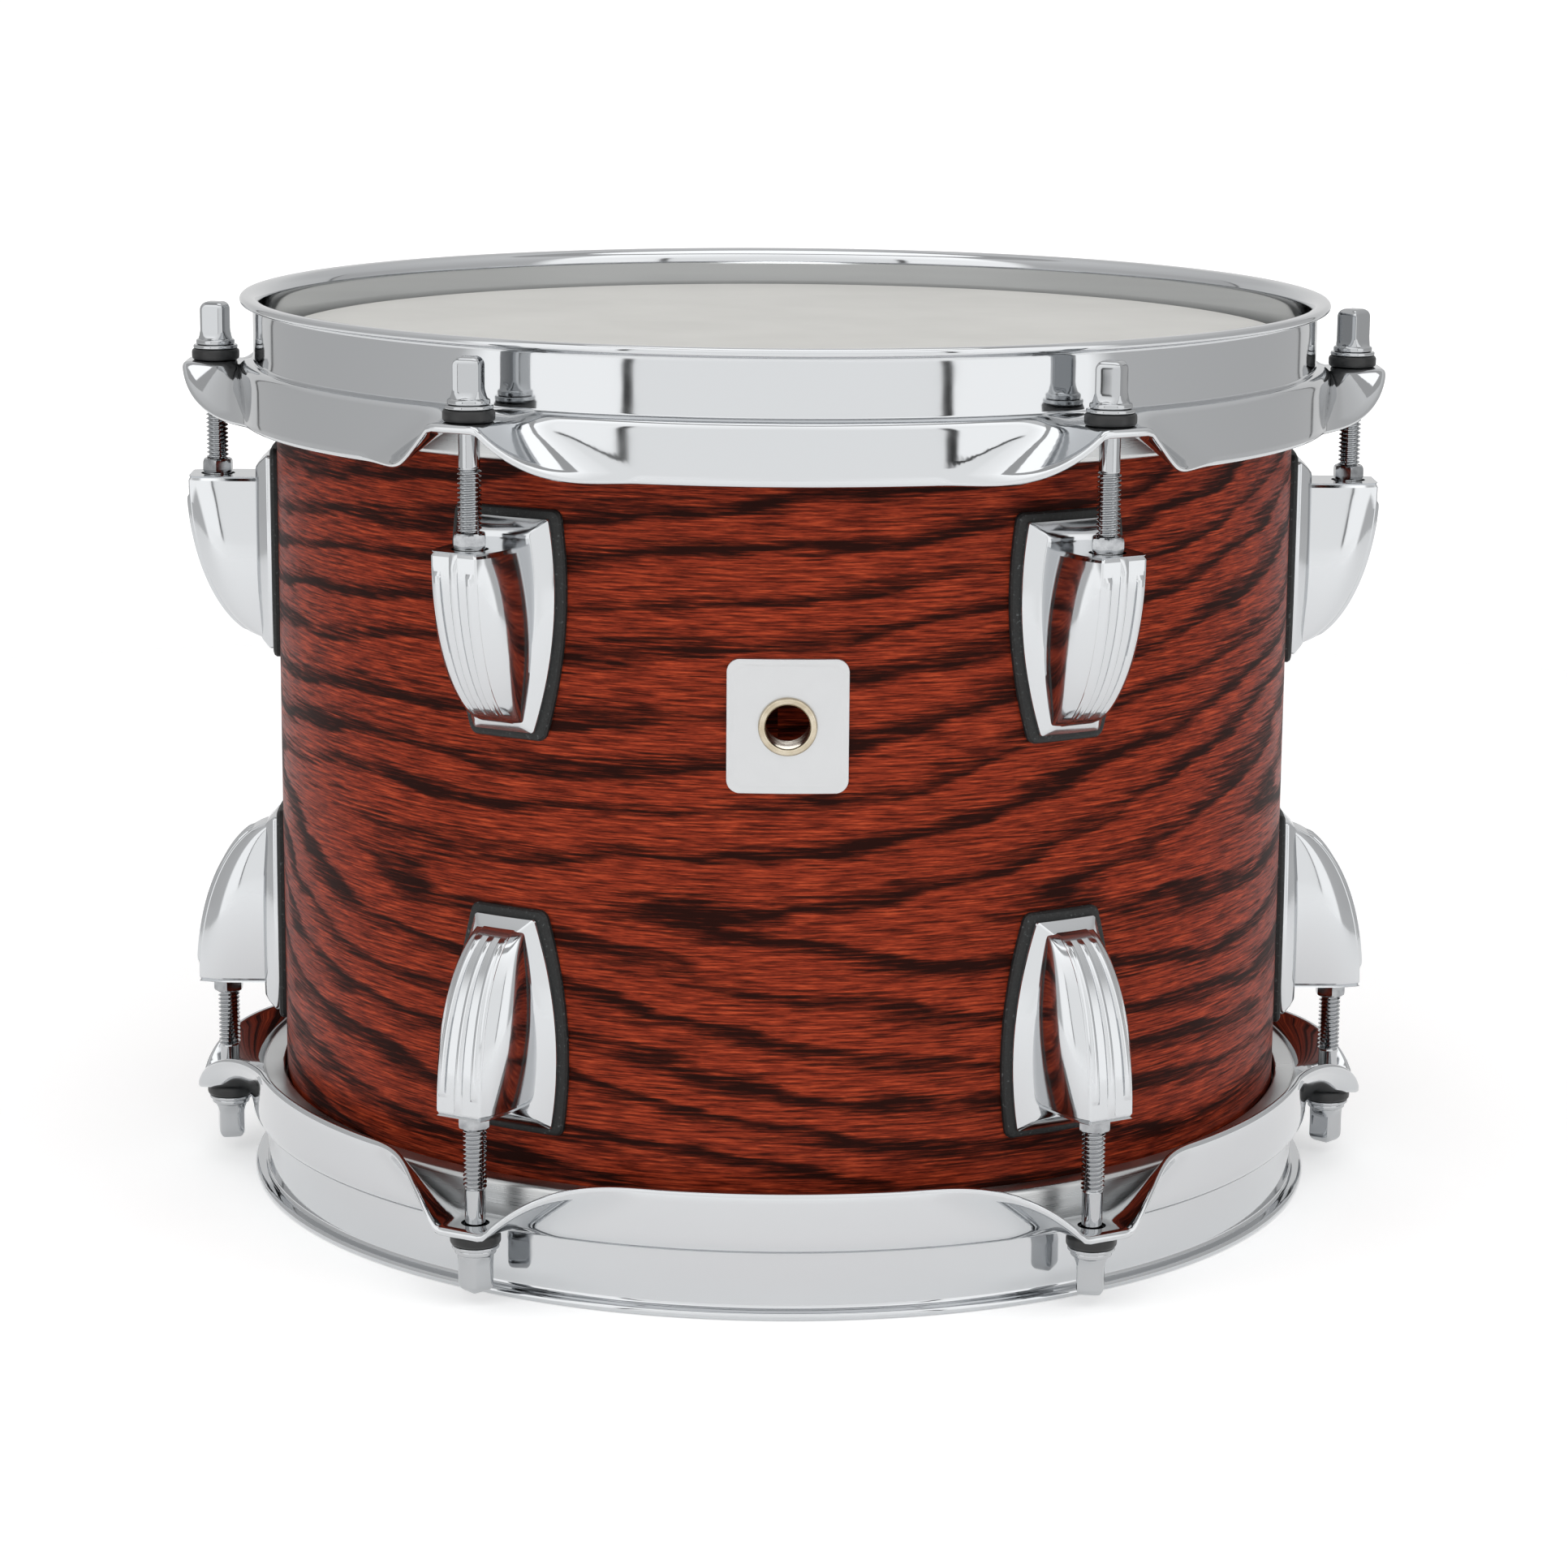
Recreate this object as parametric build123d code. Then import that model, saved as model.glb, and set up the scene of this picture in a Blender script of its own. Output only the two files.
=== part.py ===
from build123d import *
from math import sqrt
import os

# A ten inch by eight inch tom tom drum standing on its lower rim. Millimetres, +Z up, the origin under
# the middle of the lower rim, the badge facing -Y. A piece is first drawn at the front of the upper half,
# with z measured from the middle of the shell, and then turned to its own place.

# Shell: a ply tube with a bearing edge turned on each end
shell_diameter = 253.0
shell_depth = 203.2
shell_wall = 7.0
edge_roundover = 2.2
lugs_per_head = 6
first_lug_angle = 30.0

# Heads: a plastic film crimped into an aluminium flesh hoop
film_thickness = 0.3
film_clearance = 0.35
edge_clearance = 0.15
flesh_width = 5.5
flesh_height = 9.4
flesh_round = 0.7

# Hoops: pressed from steel sheet, with an ear for each tension rod
sheet = 2.0
lip_height = 9.65
lip_reach = 3.2
lip_thickness = 2.35
lip_round = 0.7
wall_clearance = 3.3
wall_height = 15.75
skirt_clearance = 0.8
skirt_height = 14.8
seat_clearance = 0.1
bend_round = 1.2
ear_drop = 1.9
ear_reach = 14.3
ear_flat = 6.5
ear_tip_half_width = 6.2
ear_tip_round = 3.0
ear_spread = 25.0
ear_bend = 13.0
ear_sweep = 14.0
ear_waist = 13.0
ear_hole_clearance = 1.11

# Tension rods: square drive, collar, plain neck and a number twelve thread
rod_offset = 15.56
rod_thread = 5.49
rod_neck = 4.8
neck_length = 13.8
rod_length = 46.4
collar_diameter = 9.6
collar_height = 1.4
drive_width = 6.35
drive_height = 9.2
drive_flare = 2.0
drive_corner = 8.2
drive_dome = 1.0
rod_point = 1.0
soft_washer_diameter = 11.8
soft_washer_height = 2.9
steel_washer_diameter = 11.0
steel_washer_height = 0.9
washer_clearance = 0.25
collar_clearance = 0.05

# Lugs: a hollow cast casing on a rubber gasket, holding a swivel nut
lug_drop = 36.5
gasket_thickness = 1.8
gasket_border = 1.9
plinth_border = 5.9
plinth_height = 49.3
plinth_half_widths = (11.9, 13.3, 7.9)
plinth_widest = 0.43
plinth_edge = 0.7
plinth_bevel = 3.0
casing_reach = 20.5
casing_height = 41.5
casing_cap = 1.1
casing_face_half_width = 5.85
casing_waist_half_width = 8.2
casing_root_half_widths = (7.6, 9.6, 6.3)
casing_wall = 1.8
cap_wall = 2.1
nut_clearance = 0.2
nut_flange_diameter = 9.2
nut_flange_height = 8.0
nut_neck_diameter = 7.2
nut_hex_width = 7.0
nut_hex_height = 3.4
nut_lift = 0.3
nut_chamfer = 0.6
thread_clearance = 0.06
clip_thickness = 0.5
clip_width = 6.0
clip_rod_clearance = 0.455
clip_gap = 0.1
screw_spacing = 27.0
screw_drop = 6.6
screw_diameter = 4.0
screw_reach = 6.5
screw_head_diameter = 7.6
screw_head_height = 2.6
screw_head_chamfer = 0.85
screw_hole = 5.0
screw_pad_height = 9.0
screw_pad_depth = 7.8
screw_washer_diameter = 10.0
screw_washer_height = 1.0
tap_clearance = 0.05

# Badge and the vent through it
badge_width = 27.4
badge_height = 30.7
badge_round = 3.0
badge_thickness = 0.8
badge_border = 1.6
badge_border_height = 0.25
badge_rise = 26.0
vent_bore = 10.0
vent_wall = 0.6
vent_flange = 13.4
vent_flange_height = 1.1
vent_flange_round = 0.5
vent_back_flange = 14.0
vent_clearance = 0.2

# Radii and heights that follow from the sizes above
shell_radius = shell_diameter / 2
shell_inside = shell_radius - shell_wall
edge_z = shell_depth / 2
middle_z = edge_z + lip_height
film_radius = shell_radius + film_clearance
flesh_inner = film_radius + film_thickness
flesh_outer = flesh_inner + flesh_width
skirt_inner = flesh_outer + skirt_clearance
skirt_outer = skirt_inner + sheet
wall_inner = shell_radius + wall_clearance
wall_outer = wall_inner + sheet
lip_outer = wall_outer + lip_reach
lip_z = edge_z + lip_height
shoulder_z = lip_z - wall_height
skirt_z = shoulder_z - skirt_height
flesh_top = shoulder_z - sheet - seat_clearance
ear_z = shoulder_z - ear_drop
ear_tip = skirt_outer + ear_reach
ear_hole = rod_thread + ear_hole_clearance
rod_radius = shell_radius + rod_offset
soft_washer_z = ear_z
steel_washer_z = soft_washer_z + soft_washer_height
collar_z = steel_washer_z + steel_washer_height + collar_clearance
drive_z = collar_z + collar_height
casing_top = edge_z - lug_drop
casing_base = shell_radius + gasket_thickness
casing_face = casing_base + casing_reach
plinth_top = casing_top + plinth_border
plinth_bottom = plinth_top - plinth_height
cavity_top = casing_top - cap_wall
cavity_half_width = nut_flange_diameter / 2 + nut_clearance
nut_top = cavity_top - clip_gap
nut_bottom = nut_top - nut_flange_height
rod_end = collar_z - rod_length
screw_heights = [casing_top - screw_drop, casing_top - screw_drop - screw_spacing]
vent_hole_radius = vent_bore / 2 + vent_wall + vent_clearance
lug_angles = [first_lug_angle + i * 360 / lugs_per_head for i in range(lugs_per_head)]


def ring(inner, outer, low, high):
    """A plain ring about the drum's axis."""
    return Pos(0, 0, (low + high) / 2) * (Cylinder(outer, high - low) - Cylinder(inner, high - low + 1))


def radial_cylinder(radius, start, end, height):
    """A round bar that points straight out of the front of the shell, from one radius to another."""
    bar = Cylinder(radius, end - start, align=(Align.CENTER, Align.CENTER, Align.MIN))
    return Pos(0, -start, height) * Rot(90, 0, 0) * bar


def rod_cylinder(radius, low, high):
    """A round bar on the axis of the front tension rod."""
    bar = Cylinder(radius, high - low, align=(Align.CENTER, Align.CENTER, Align.MIN))
    return Pos(0, -rod_radius, low) * bar


def extrude_outward(face, start, end, taper=0):
    """Push a face drawn in the X-Z plane straight out of the front of the shell."""
    return extrude(Pos(0, -start, 0) * face, end - start, dir=(0, -1, 0), taper=taper)


def place(piece, angle, upper):
    """Turn a piece from the front of the upper half to its own place on the drum."""
    if not upper:
        piece = Rot(0, 180, 0) * piece
    return Pos(0, 0, middle_z) * Rot(0, 0, angle) * piece


def around(piece, upper):
    """One copy of a piece at each lug, as separate solids."""
    return Compound([place(piece, angle, upper).solid() for angle in lug_angles])


def corners(face, x, y):
    """The vertices of a flat face that lie at one point."""
    return face.vertices().filter_by(lambda v: abs(v.X - x) + abs(v.Y - y) < 0.01)


def flat_on(radius, half_width):
    """How far out a flat piece of this half width reaches before it touches the inside of a round wall."""
    return sqrt(radius ** 2 - half_width ** 2)


def save(node, piece):
    export_step(piece, f"parts/{node}.step")


# Shell -------------------------------------------------------------------------------------------------

def make_shell():
    """Ply tube with a forty-five degree cut inside each bearing edge and a small roundover outside."""
    crest = shell_radius - edge_roundover
    inner_cut = crest - shell_inside
    half = Polyline((shell_radius, 0), (shell_radius, edge_z - edge_roundover), (crest, edge_z),
                    (shell_inside, edge_z - inner_cut), (shell_inside, 0), close=True)
    upper = revolve(Plane.XZ * make_face(half), Axis.Z)
    shell = upper + mirror(upper, Plane.XY)
    drill = Part()
    for height in screw_heights:
        drill += radial_cylinder(screw_hole / 2, shell_inside - 2, shell_radius + 2, height)
    for angle in lug_angles:
        shell -= Rot(0, 0, angle) * drill
        shell -= Rot(0, 0, angle) * Rot(0, 180, 0) * drill
    shell -= radial_cylinder(vent_hole_radius, shell_inside - 2, shell_radius + 2, badge_rise)
    return Pos(0, 0, middle_z) * shell


# Heads -------------------------------------------------------------------------------------------------

def make_film():
    """Film stretched over the bearing edge, with a short collar running down into the flesh hoop."""
    crown = edge_z + edge_clearance
    crest = shell_radius - edge_roundover
    corner = edge_roundover + film_clearance
    collar_end = flesh_top - flesh_height / 2
    profile = Polyline((0, crown), (crest, crown), (film_radius, crown - corner), (film_radius, collar_end),
                       (flesh_inner, collar_end), (flesh_inner, crown - corner + film_thickness / 2),
                       (crest + film_thickness / 2, crown + film_thickness), (0, crown + film_thickness),
                       close=True)
    return revolve(Plane.XZ * make_face(profile), Axis.Z)


def make_flesh_hoop():
    """Aluminium ring that the film is crimped into."""
    hoop = ring(flesh_inner, flesh_outer, flesh_top - flesh_height, flesh_top)
    return fillet(hoop.edges().filter_by(GeomType.CIRCLE).group_by(SortBy.RADIUS)[-1], flesh_round)


# Hoops -------------------------------------------------------------------------------------------------

def ear_curves(low=0):
    """Side view of an ear's sheet: flat under the washer, swept down to the skirt's foot at each side."""
    end = (ear_spread, skirt_z + sheet - low)
    right = Bezier((ear_flat, ear_z - low), (ear_bend, ear_z - low), (ear_sweep, skirt_z + sheet - low), end)
    return [Line((-ear_flat, ear_z - low), (ear_flat, ear_z - low)), right, mirror(right, Plane.YZ)]


def ear_strip():
    """The ear's sheet seen from outside the drum."""
    ends = [Line((side * ear_spread, skirt_z + sheet), (side * ear_spread, skirt_z)) for side in (-1, 1)]
    return make_face(Curve() + ear_curves() + ear_curves(sheet) + ends)


def ear_gap():
    """What is cut out of the skirt below an ear's sheet."""
    foot = skirt_z - sheet
    sides = [Line((side * ear_spread, skirt_z), (side * ear_spread, foot)) for side in (-1, 1)]
    return make_face(Curve() + ear_curves(sheet) + sides + [Line((-ear_spread, foot), (ear_spread, foot))])


def ear_outline():
    """Plan view of one ear: a round-cornered tip with sides that flare back to the skirt."""
    tip = ear_tip_half_width
    root = flat_on(skirt_outer, ear_spread)
    back = root - 2 * sheet
    right = Bezier((tip, -ear_tip), (tip, -(ear_tip + root) / 2), (ear_waist, -(root + sheet)),
                   (ear_spread, -root))
    sides = [Line((side * ear_spread, -root), (side * ear_spread, -back)) for side in (-1, 1)]
    ends = [Line((-tip, -ear_tip), (tip, -ear_tip)), Line((-ear_spread, -back), (ear_spread, -back))]
    face = make_face(Curve() + [right, mirror(right, Plane.YZ)] + sides + ends)
    return fillet(face.vertices().group_by(Axis.Y)[0], ear_tip_round)


def hoop_section():
    """Section of the hoop between two ears: lip, upright wall, shoulder and skirt."""
    line = Polyline((wall_inner, lip_z), (lip_outer, lip_z), (lip_outer, lip_z - lip_thickness),
                    (wall_outer, lip_z - lip_thickness), (wall_outer, shoulder_z),
                    (skirt_outer, shoulder_z), (skirt_outer, skirt_z), (skirt_inner, skirt_z),
                    (skirt_inner, shoulder_z - sheet), (wall_inner, shoulder_z - sheet), close=True)
    face = make_face(line)
    for x, y in [(wall_inner, lip_z), (lip_outer, lip_z), (lip_outer, lip_z - lip_thickness)]:
        face = fillet(corners(face, x, y), lip_round)
    return fillet(corners(face, skirt_outer, shoulder_z), bend_round)


def make_hoop():
    """Pressed steel hoop with an ear for each tension rod."""
    hoop = revolve(Plane.XZ * hoop_section(), Axis.Z)
    ear = extrude_outward(Plane.XZ * ear_strip(), skirt_inner - 2 * sheet, ear_tip + sheet)
    ear &= Pos(0, 0, skirt_z - sheet) * extrude(ear_outline(), shoulder_z - skirt_z + sheet)
    ear -= Pos(0, 0, middle_z / 2) * Cylinder(skirt_inner, middle_z)
    ear -= rod_cylinder(ear_hole / 2, skirt_z, lip_z)
    gap = extrude_outward(Plane.XZ * ear_gap(), skirt_inner - 2 * sheet, skirt_outer + sheet)
    for angle in lug_angles:
        hoop -= Rot(0, 0, angle) * gap
        hoop += Rot(0, 0, angle) * ear
    return hoop


# Tension rods and their washers --------------------------------------------------------------------------

def make_rod():
    """Threaded rod with a collar and a square drive with a domed end."""
    neck_end = collar_z - neck_length
    thread = rod_cylinder(rod_thread / 2, rod_end, neck_end)
    thread = chamfer(thread.edges().group_by(Axis.Z)[0], rod_point)
    neck = rod_cylinder(rod_neck / 2, neck_end, collar_z)
    collar = rod_cylinder(collar_diameter / 2, collar_z, drive_z)
    flare = Cone(drive_corner / 2, drive_width / 2, drive_flare)
    flare = Pos(0, -rod_radius, drive_z + drive_flare / 2) * flare
    square = Box(drive_width, drive_width, drive_height, align=(Align.CENTER, Align.CENTER, Align.MIN))
    square = Pos(0, -rod_radius, drive_z) * square
    round_bar = rod_cylinder(drive_corner / 2, drive_z, drive_z + drive_height)
    round_bar = chamfer(round_bar.edges().group_by(Axis.Z)[-1], drive_dome)
    return thread + neck + collar + flare + (square & round_bar)


def make_washer(diameter, low, height):
    hole = rod_thread / 2 + washer_clearance
    return rod_cylinder(diameter / 2, low, low + height) - rod_cylinder(hole, low - 1, low + height + 1)


# Lugs --------------------------------------------------------------------------------------------------

def lug_outline(half_widths, top, bottom):
    """Front view of a lug: blunt at the nut end, widest below it, then tapering with bowed sides."""
    half_top, half_middle, half_end = half_widths
    middle = top - plinth_widest * (top - bottom)
    right = ThreePointArc((half_top, top), (half_middle, middle), (half_end, bottom))
    ends = [Line((-half_top, top), (half_top, top)), Line((-half_end, bottom), (half_end, bottom))]
    return make_face(Curve() + [right, mirror(right, Plane.YZ)] + ends)


def make_gasket():
    """Rubber gasket, cut to the plinth's outline with a border round it and two screw holes."""
    half_widths = [half + gasket_border for half in plinth_half_widths]
    outline = lug_outline(half_widths, plinth_top + gasket_border, plinth_bottom - gasket_border)
    gasket = extrude_outward(Plane.XZ * outline, shell_inside, casing_face)
    gasket &= ring(shell_radius, casing_base, 0, edge_z)
    for height in screw_heights:
        gasket -= radial_cylinder(screw_hole / 2, shell_inside, casing_face, height)
    return gasket


def side_view(wall, top):
    """Side view of the casing, or of the hollow left inside a wall: a flat end and a quarter ellipse."""
    centre = casing_top - casing_cap
    reach = casing_reach - wall
    height = casing_height - casing_cap - wall
    block = Pos(-casing_base, centre) * Rectangle(reach, height, align=(Align.MAX, Align.MAX))
    curve = (Pos(-casing_base, centre) * Ellipse(reach, height)) & block
    return curve + Pos(-casing_base, centre) * Rectangle(reach, top - centre, align=(Align.MAX, Align.MIN))


def flank_view():
    """Section across the casing: a narrow outer face with a flank that swells down each side."""
    root = casing_base + plinth_edge + plinth_bevel
    waist = (root + casing_face) / 2
    half_root = max(casing_root_half_widths)
    right = ThreePointArc((casing_face_half_width, -casing_face), (casing_waist_half_width, -waist),
                          (half_root, -root))
    sides = [Line((side * half_root, -root), (side * half_root, -casing_base)) for side in (-1, 1)]
    ends = [Line((-half, y), (half, y)) for half, y in
            [(casing_face_half_width, -casing_face), (half_root, -casing_base)]]
    return make_face(Curve() + [right, mirror(right, Plane.YZ)] + sides + ends)


def make_cavity():
    """The hollow behind the casing's walls, with two solid pads left for the screws."""
    bottom = casing_top - casing_height + casing_wall
    back = Pos(0, (cavity_top + bottom) / 2) * Rectangle(2 * cavity_half_width, cavity_top - bottom)
    cavity = extrude(Plane.YZ * side_view(casing_wall, cavity_top), cavity_half_width, both=True)
    cavity += extrude_outward(Plane.XZ * back, shell_inside, casing_base)
    for height in screw_heights:
        pad = Pos(0, height) * Rectangle(4 * cavity_half_width, screw_pad_height)
        cavity -= extrude_outward(Plane.XZ * pad, shell_inside, casing_base + screw_pad_depth)
    cavity += rod_cylinder(cavity_half_width, nut_bottom - nut_clearance, cavity_top)
    return cavity + rod_cylinder(rod_thread / 2 + nut_clearance, rod_end - 1, nut_bottom)


def make_casing():
    """Cast casing: a bevelled plinth with a hollow nut tower rising out of it."""
    outline = lug_outline(plinth_half_widths, plinth_top, plinth_bottom)
    edge = casing_base + plinth_edge
    plinth = extrude_outward(Plane.XZ * outline, shell_inside, edge)
    plinth += extrude_outward(Plane.XZ * outline, edge, edge + plinth_bevel, taper=45)
    root = lug_outline(casing_root_half_widths, casing_top, casing_top - casing_height)
    tower = extrude(Plane.YZ * side_view(0, casing_top), plinth_half_widths[0], both=True)
    tower &= extrude(Pos(0, 0, casing_top - 2 * casing_height) * flank_view(), 3 * casing_height)
    tower &= extrude_outward(Plane.XZ * root, shell_inside, casing_face + 1)
    casing = plinth + tower - make_cavity()
    casing -= Cylinder(casing_base, shell_depth)
    casing -= rod_cylinder(nut_hex_width / sqrt(3) + nut_clearance, nut_bottom, casing_top + 1)
    for height in screw_heights:
        tap = screw_diameter / 2 + tap_clearance
        casing -= radial_cylinder(tap, shell_inside, casing_base + screw_reach + 1, height)
    return casing


def make_nut():
    """Swivel nut: a flange held inside the casing and a hexagon that stands out of its end."""
    hex_low = casing_top + nut_lift
    hexagon = extrude(RegularPolygon(nut_hex_width / 2, 6, major_radius=False), nut_hex_height)
    hexagon &= chamfer(Cylinder(nut_hex_width / sqrt(3), 2 * nut_hex_height).edges().group_by(Axis.Z)[-1],
                       nut_chamfer)
    nut = Pos(0, -rod_radius, hex_low) * hexagon
    nut += rod_cylinder(nut_neck_diameter / 2, nut_top, hex_low)
    nut += rod_cylinder(nut_flange_diameter / 2, nut_bottom, nut_top)
    return nut - rod_cylinder(rod_thread / 2 + thread_clearance, nut_bottom - 1, edge_z)


def make_clip():
    """Spring steel clip that stands behind the nut, with a foot bent under it."""
    back = rod_radius - nut_flange_diameter / 2 - clip_gap
    low = nut_bottom - clip_gap
    behind = back - clip_thickness
    toe = rod_radius - rod_thread / 2 - clip_rod_clearance
    foot = low - clip_thickness
    line = Polyline((-back, nut_top), (-back, low), (-toe, low), (-toe, foot), (-behind, foot),
                    (-behind, nut_top), close=True)
    return extrude(Plane.YZ * make_face(line), clip_width / 2, both=True)


def make_screw():
    """Screw that comes through the shell from inside and holds the lug."""
    seat = flat_on(shell_inside, screw_washer_diameter / 2) - screw_washer_height
    screw = radial_cylinder(screw_diameter / 2, seat, casing_base + screw_reach, 0)
    head = radial_cylinder(screw_head_diameter / 2, seat - screw_head_height, seat, 0)
    return screw + chamfer(head.edges().group_by(Axis.Y)[-1], screw_head_chamfer)


def make_screw_washer():
    seat = flat_on(shell_inside, screw_washer_diameter / 2)
    washer = radial_cylinder(screw_washer_diameter / 2, seat - screw_washer_height, seat, 0)
    return washer - radial_cylinder(screw_diameter / 2 + tap_clearance, shell_inside / 2, shell_radius, 0)


def pairs_around(piece, upper):
    """One copy of a piece at each of the two screw holes of every lug."""
    return Compound([place(Pos(0, 0, height) * piece, angle, upper).solid()
                     for angle in lug_angles for height in screw_heights])


# Badge and vent ----------------------------------------------------------------------------------------

def make_badge():
    """Plain curved plate with a raised border, held by the vent grommet that passes through it."""
    face = shell_radius + badge_thickness
    outline = Pos(0, badge_rise) * RectangleRounded(badge_width, badge_height, badge_round)
    middle = Pos(0, badge_rise) * RectangleRounded(badge_width - 2 * badge_border,
                                                   badge_height - 2 * badge_border,
                                                   badge_round - badge_border)
    plate = extrude_outward(Plane.XZ * outline, shell_inside, face + badge_width)
    border = plate - extrude_outward(Plane.XZ * middle, shell_inside, face + badge_width)
    badge = plate & ring(shell_radius, face, 0, edge_z)
    badge += border & ring(shell_radius, face + badge_border_height, 0, edge_z)
    badge -= radial_cylinder(vent_hole_radius, shell_inside, face + 1, badge_rise)
    return Pos(0, 0, middle_z) * badge


def make_grommet():
    """Eyelet pressed through the badge and the shell, rolled over on both sides."""
    bore = vent_bore / 2
    barrel = bore + vent_wall
    front = shell_radius + badge_thickness
    back = flat_on(shell_inside, vent_back_flange / 2)
    outside = front + vent_flange_height
    inside = back - vent_flange_height
    line = Polyline((bore, -inside), (vent_back_flange / 2, -inside), (vent_back_flange / 2, -back),
                    (barrel, -back), (barrel, -front), (vent_flange / 2, -front),
                    (vent_flange / 2, -outside), (bore, -outside), close=True)
    face = make_face(line)
    for x in (bore, vent_flange / 2):
        face = fillet(corners(face, x, -outside), vent_flange_round)
    return Pos(0, 0, middle_z + badge_rise) * revolve(face, Axis.Y)


# The drum ----------------------------------------------------------------------------------------------

os.makedirs("parts", exist_ok=True)
save("shell", make_shell())
save("badge", make_badge())
save("vent_grommet", make_grommet())

for side, upper in (("batter", True), ("resonant", False)):
    save(f"{side}_head_film", place(make_film(), 0, upper))
    save(f"{side}_flesh_hoop", place(make_flesh_hoop(), 0, upper))
    save(f"{side}_hoop", place(make_hoop(), 0, upper))
    for number, angle in enumerate(lug_angles, start=1):
        save(f"{side}_tension_rod_{number}", place(make_rod(), angle, upper))
        save(f"{side}_lug_{number}", place(make_casing(), angle, upper))
        save(f"{side}_lug_gasket_{number}", place(make_gasket(), angle, upper))
    save(f"{side}_rod_soft_washers",
         around(make_washer(soft_washer_diameter, soft_washer_z, soft_washer_height), upper))
    save(f"{side}_rod_steel_washers",
         around(make_washer(steel_washer_diameter, steel_washer_z, steel_washer_height), upper))
    save(f"{side}_swivel_nuts", around(make_nut(), upper))
    save(f"{side}_nut_clips", around(make_clip(), upper))
    save(f"{side}_lug_screws", pairs_around(make_screw(), upper))
    save(f"{side}_lug_screw_washers", pairs_around(make_screw_washer(), upper))
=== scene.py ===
from math import acos, cos, exp, log, pi, radians, sin, sqrt

import bmesh
import bpy
from mathutils import Matrix, Vector


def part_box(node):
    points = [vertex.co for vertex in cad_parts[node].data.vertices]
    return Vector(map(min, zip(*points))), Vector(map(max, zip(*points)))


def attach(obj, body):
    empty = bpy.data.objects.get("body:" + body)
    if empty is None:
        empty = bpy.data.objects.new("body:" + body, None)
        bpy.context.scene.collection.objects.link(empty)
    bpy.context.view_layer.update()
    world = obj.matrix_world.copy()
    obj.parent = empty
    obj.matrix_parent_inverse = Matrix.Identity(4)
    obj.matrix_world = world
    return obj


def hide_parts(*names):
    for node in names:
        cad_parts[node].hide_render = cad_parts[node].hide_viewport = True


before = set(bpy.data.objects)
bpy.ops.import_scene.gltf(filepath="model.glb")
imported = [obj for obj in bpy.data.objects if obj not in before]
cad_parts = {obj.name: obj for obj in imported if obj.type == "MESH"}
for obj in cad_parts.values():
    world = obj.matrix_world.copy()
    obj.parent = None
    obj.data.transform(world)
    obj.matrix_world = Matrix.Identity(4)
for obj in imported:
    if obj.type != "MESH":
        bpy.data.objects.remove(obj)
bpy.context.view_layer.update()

# A ten inch tom tom drum. Sizes are in millimetres here, and meshes are made in metres. A piece that
# repeats round the drum is drawn once, at the front of the upper half with z measured from the middle of
# the shell, and geometry nodes copy it round. The lower half is the upper one turned over.


# Shell -------------------------------------------------------------------------------------------------
# A tube rolled from maple plies, with an outer ply of flat-sawn oak. It is stained red-brown, so that the
# open pores of the oak stay nearly black, and sprayed with a thin satin lacquer. The grain runs round the
# drum, and the veneer's seam is at the back.

MM = 0.001
shell_low, shell_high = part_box("shell")
SHELL_R = shell_high.x / MM
MIDDLE_Z = (shell_low.z + shell_high.z) / 2 / MM
# the figure of the veneer: the height of one year, and how far it dips, waves, ripples, rounds and drifts
YEAR = 11.0
HEART_DIP = 16.0
HEART_BELOW_MIDDLE = 3.0
WAVE_RISE = 36.0
RIPPLE_RISE = 12.0
TIP_ROUND = 5.0
DRIFT = 0.13


def colour(hexa):
    """An sRGB hex value as linear red, green, blue and alpha."""
    parts = [int(hexa[i:i + 2], 16) / 255 for i in (1, 3, 5)]
    return [p / 12.92 if p <= 0.04045 else ((p + 0.055) / 1.055) ** 2.4 for p in parts] + [1.0]


def add(tree, kind, inputs=(), stops=(), **settings):
    """One node: its settings, a value or a link for each input by its place or name, and the stops of a
    colour ramp."""
    node = tree.nodes.new(kind)
    for name, value in settings.items():
        setattr(node, name, value)
    for name, value in inputs.items() if isinstance(inputs, dict) else enumerate(inputs):
        if isinstance(value, bpy.types.Node):
            value = value.outputs[0]
        if isinstance(value, bpy.types.NodeSocket):
            tree.links.new(value, node.inputs[name])
        else:
            node.inputs[name].default_value = value
    for place, (position, value) in enumerate(stops):
        if place > 1:
            node.color_ramp.elements.new(position)
        element = node.color_ramp.elements[place]
        element.position = position
        element.color = colour(value) if isinstance(value, str) else (value,) * 3 + (1,)
    return node


def waves(*sizes):
    """The scale that makes one wave of a pattern this many millimetres long, or a scale for each axis."""
    scales = [1 / (MM * size) for size in sizes]
    return scales if len(scales) > 1 else scales[0]


def blank(name):
    """A new material and its empty node tree."""
    made = bpy.data.materials.new(name)
    made.use_nodes = True
    made.node_tree.nodes.clear()
    return made, made.node_tree


def surfaced(made, shader="ShaderNodeBsdfPrincipled", **values):
    """A material ended by its shader, with a value or a link on each of the shader's own sockets."""
    shader = add(made.node_tree, shader, {name.replace("_", " "): value for name, value in values.items()})
    add(made.node_tree, "ShaderNodeOutputMaterial", {"Surface": shader})
    return made


def place_round(tree):
    """Where a point is: its coordinates, and its angle round the drum from the front."""
    xyz = add(tree, "ShaderNodeSeparateXYZ", (add(tree, "ShaderNodeTexCoord").outputs["Object"],))
    front = add(tree, "ShaderNodeMath", (xyz.outputs["Y"], -1.0), operation="MULTIPLY")
    return xyz, add(tree, "ShaderNodeMath", (xyz.outputs["X"], front), operation="ARCTAN2")


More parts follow.
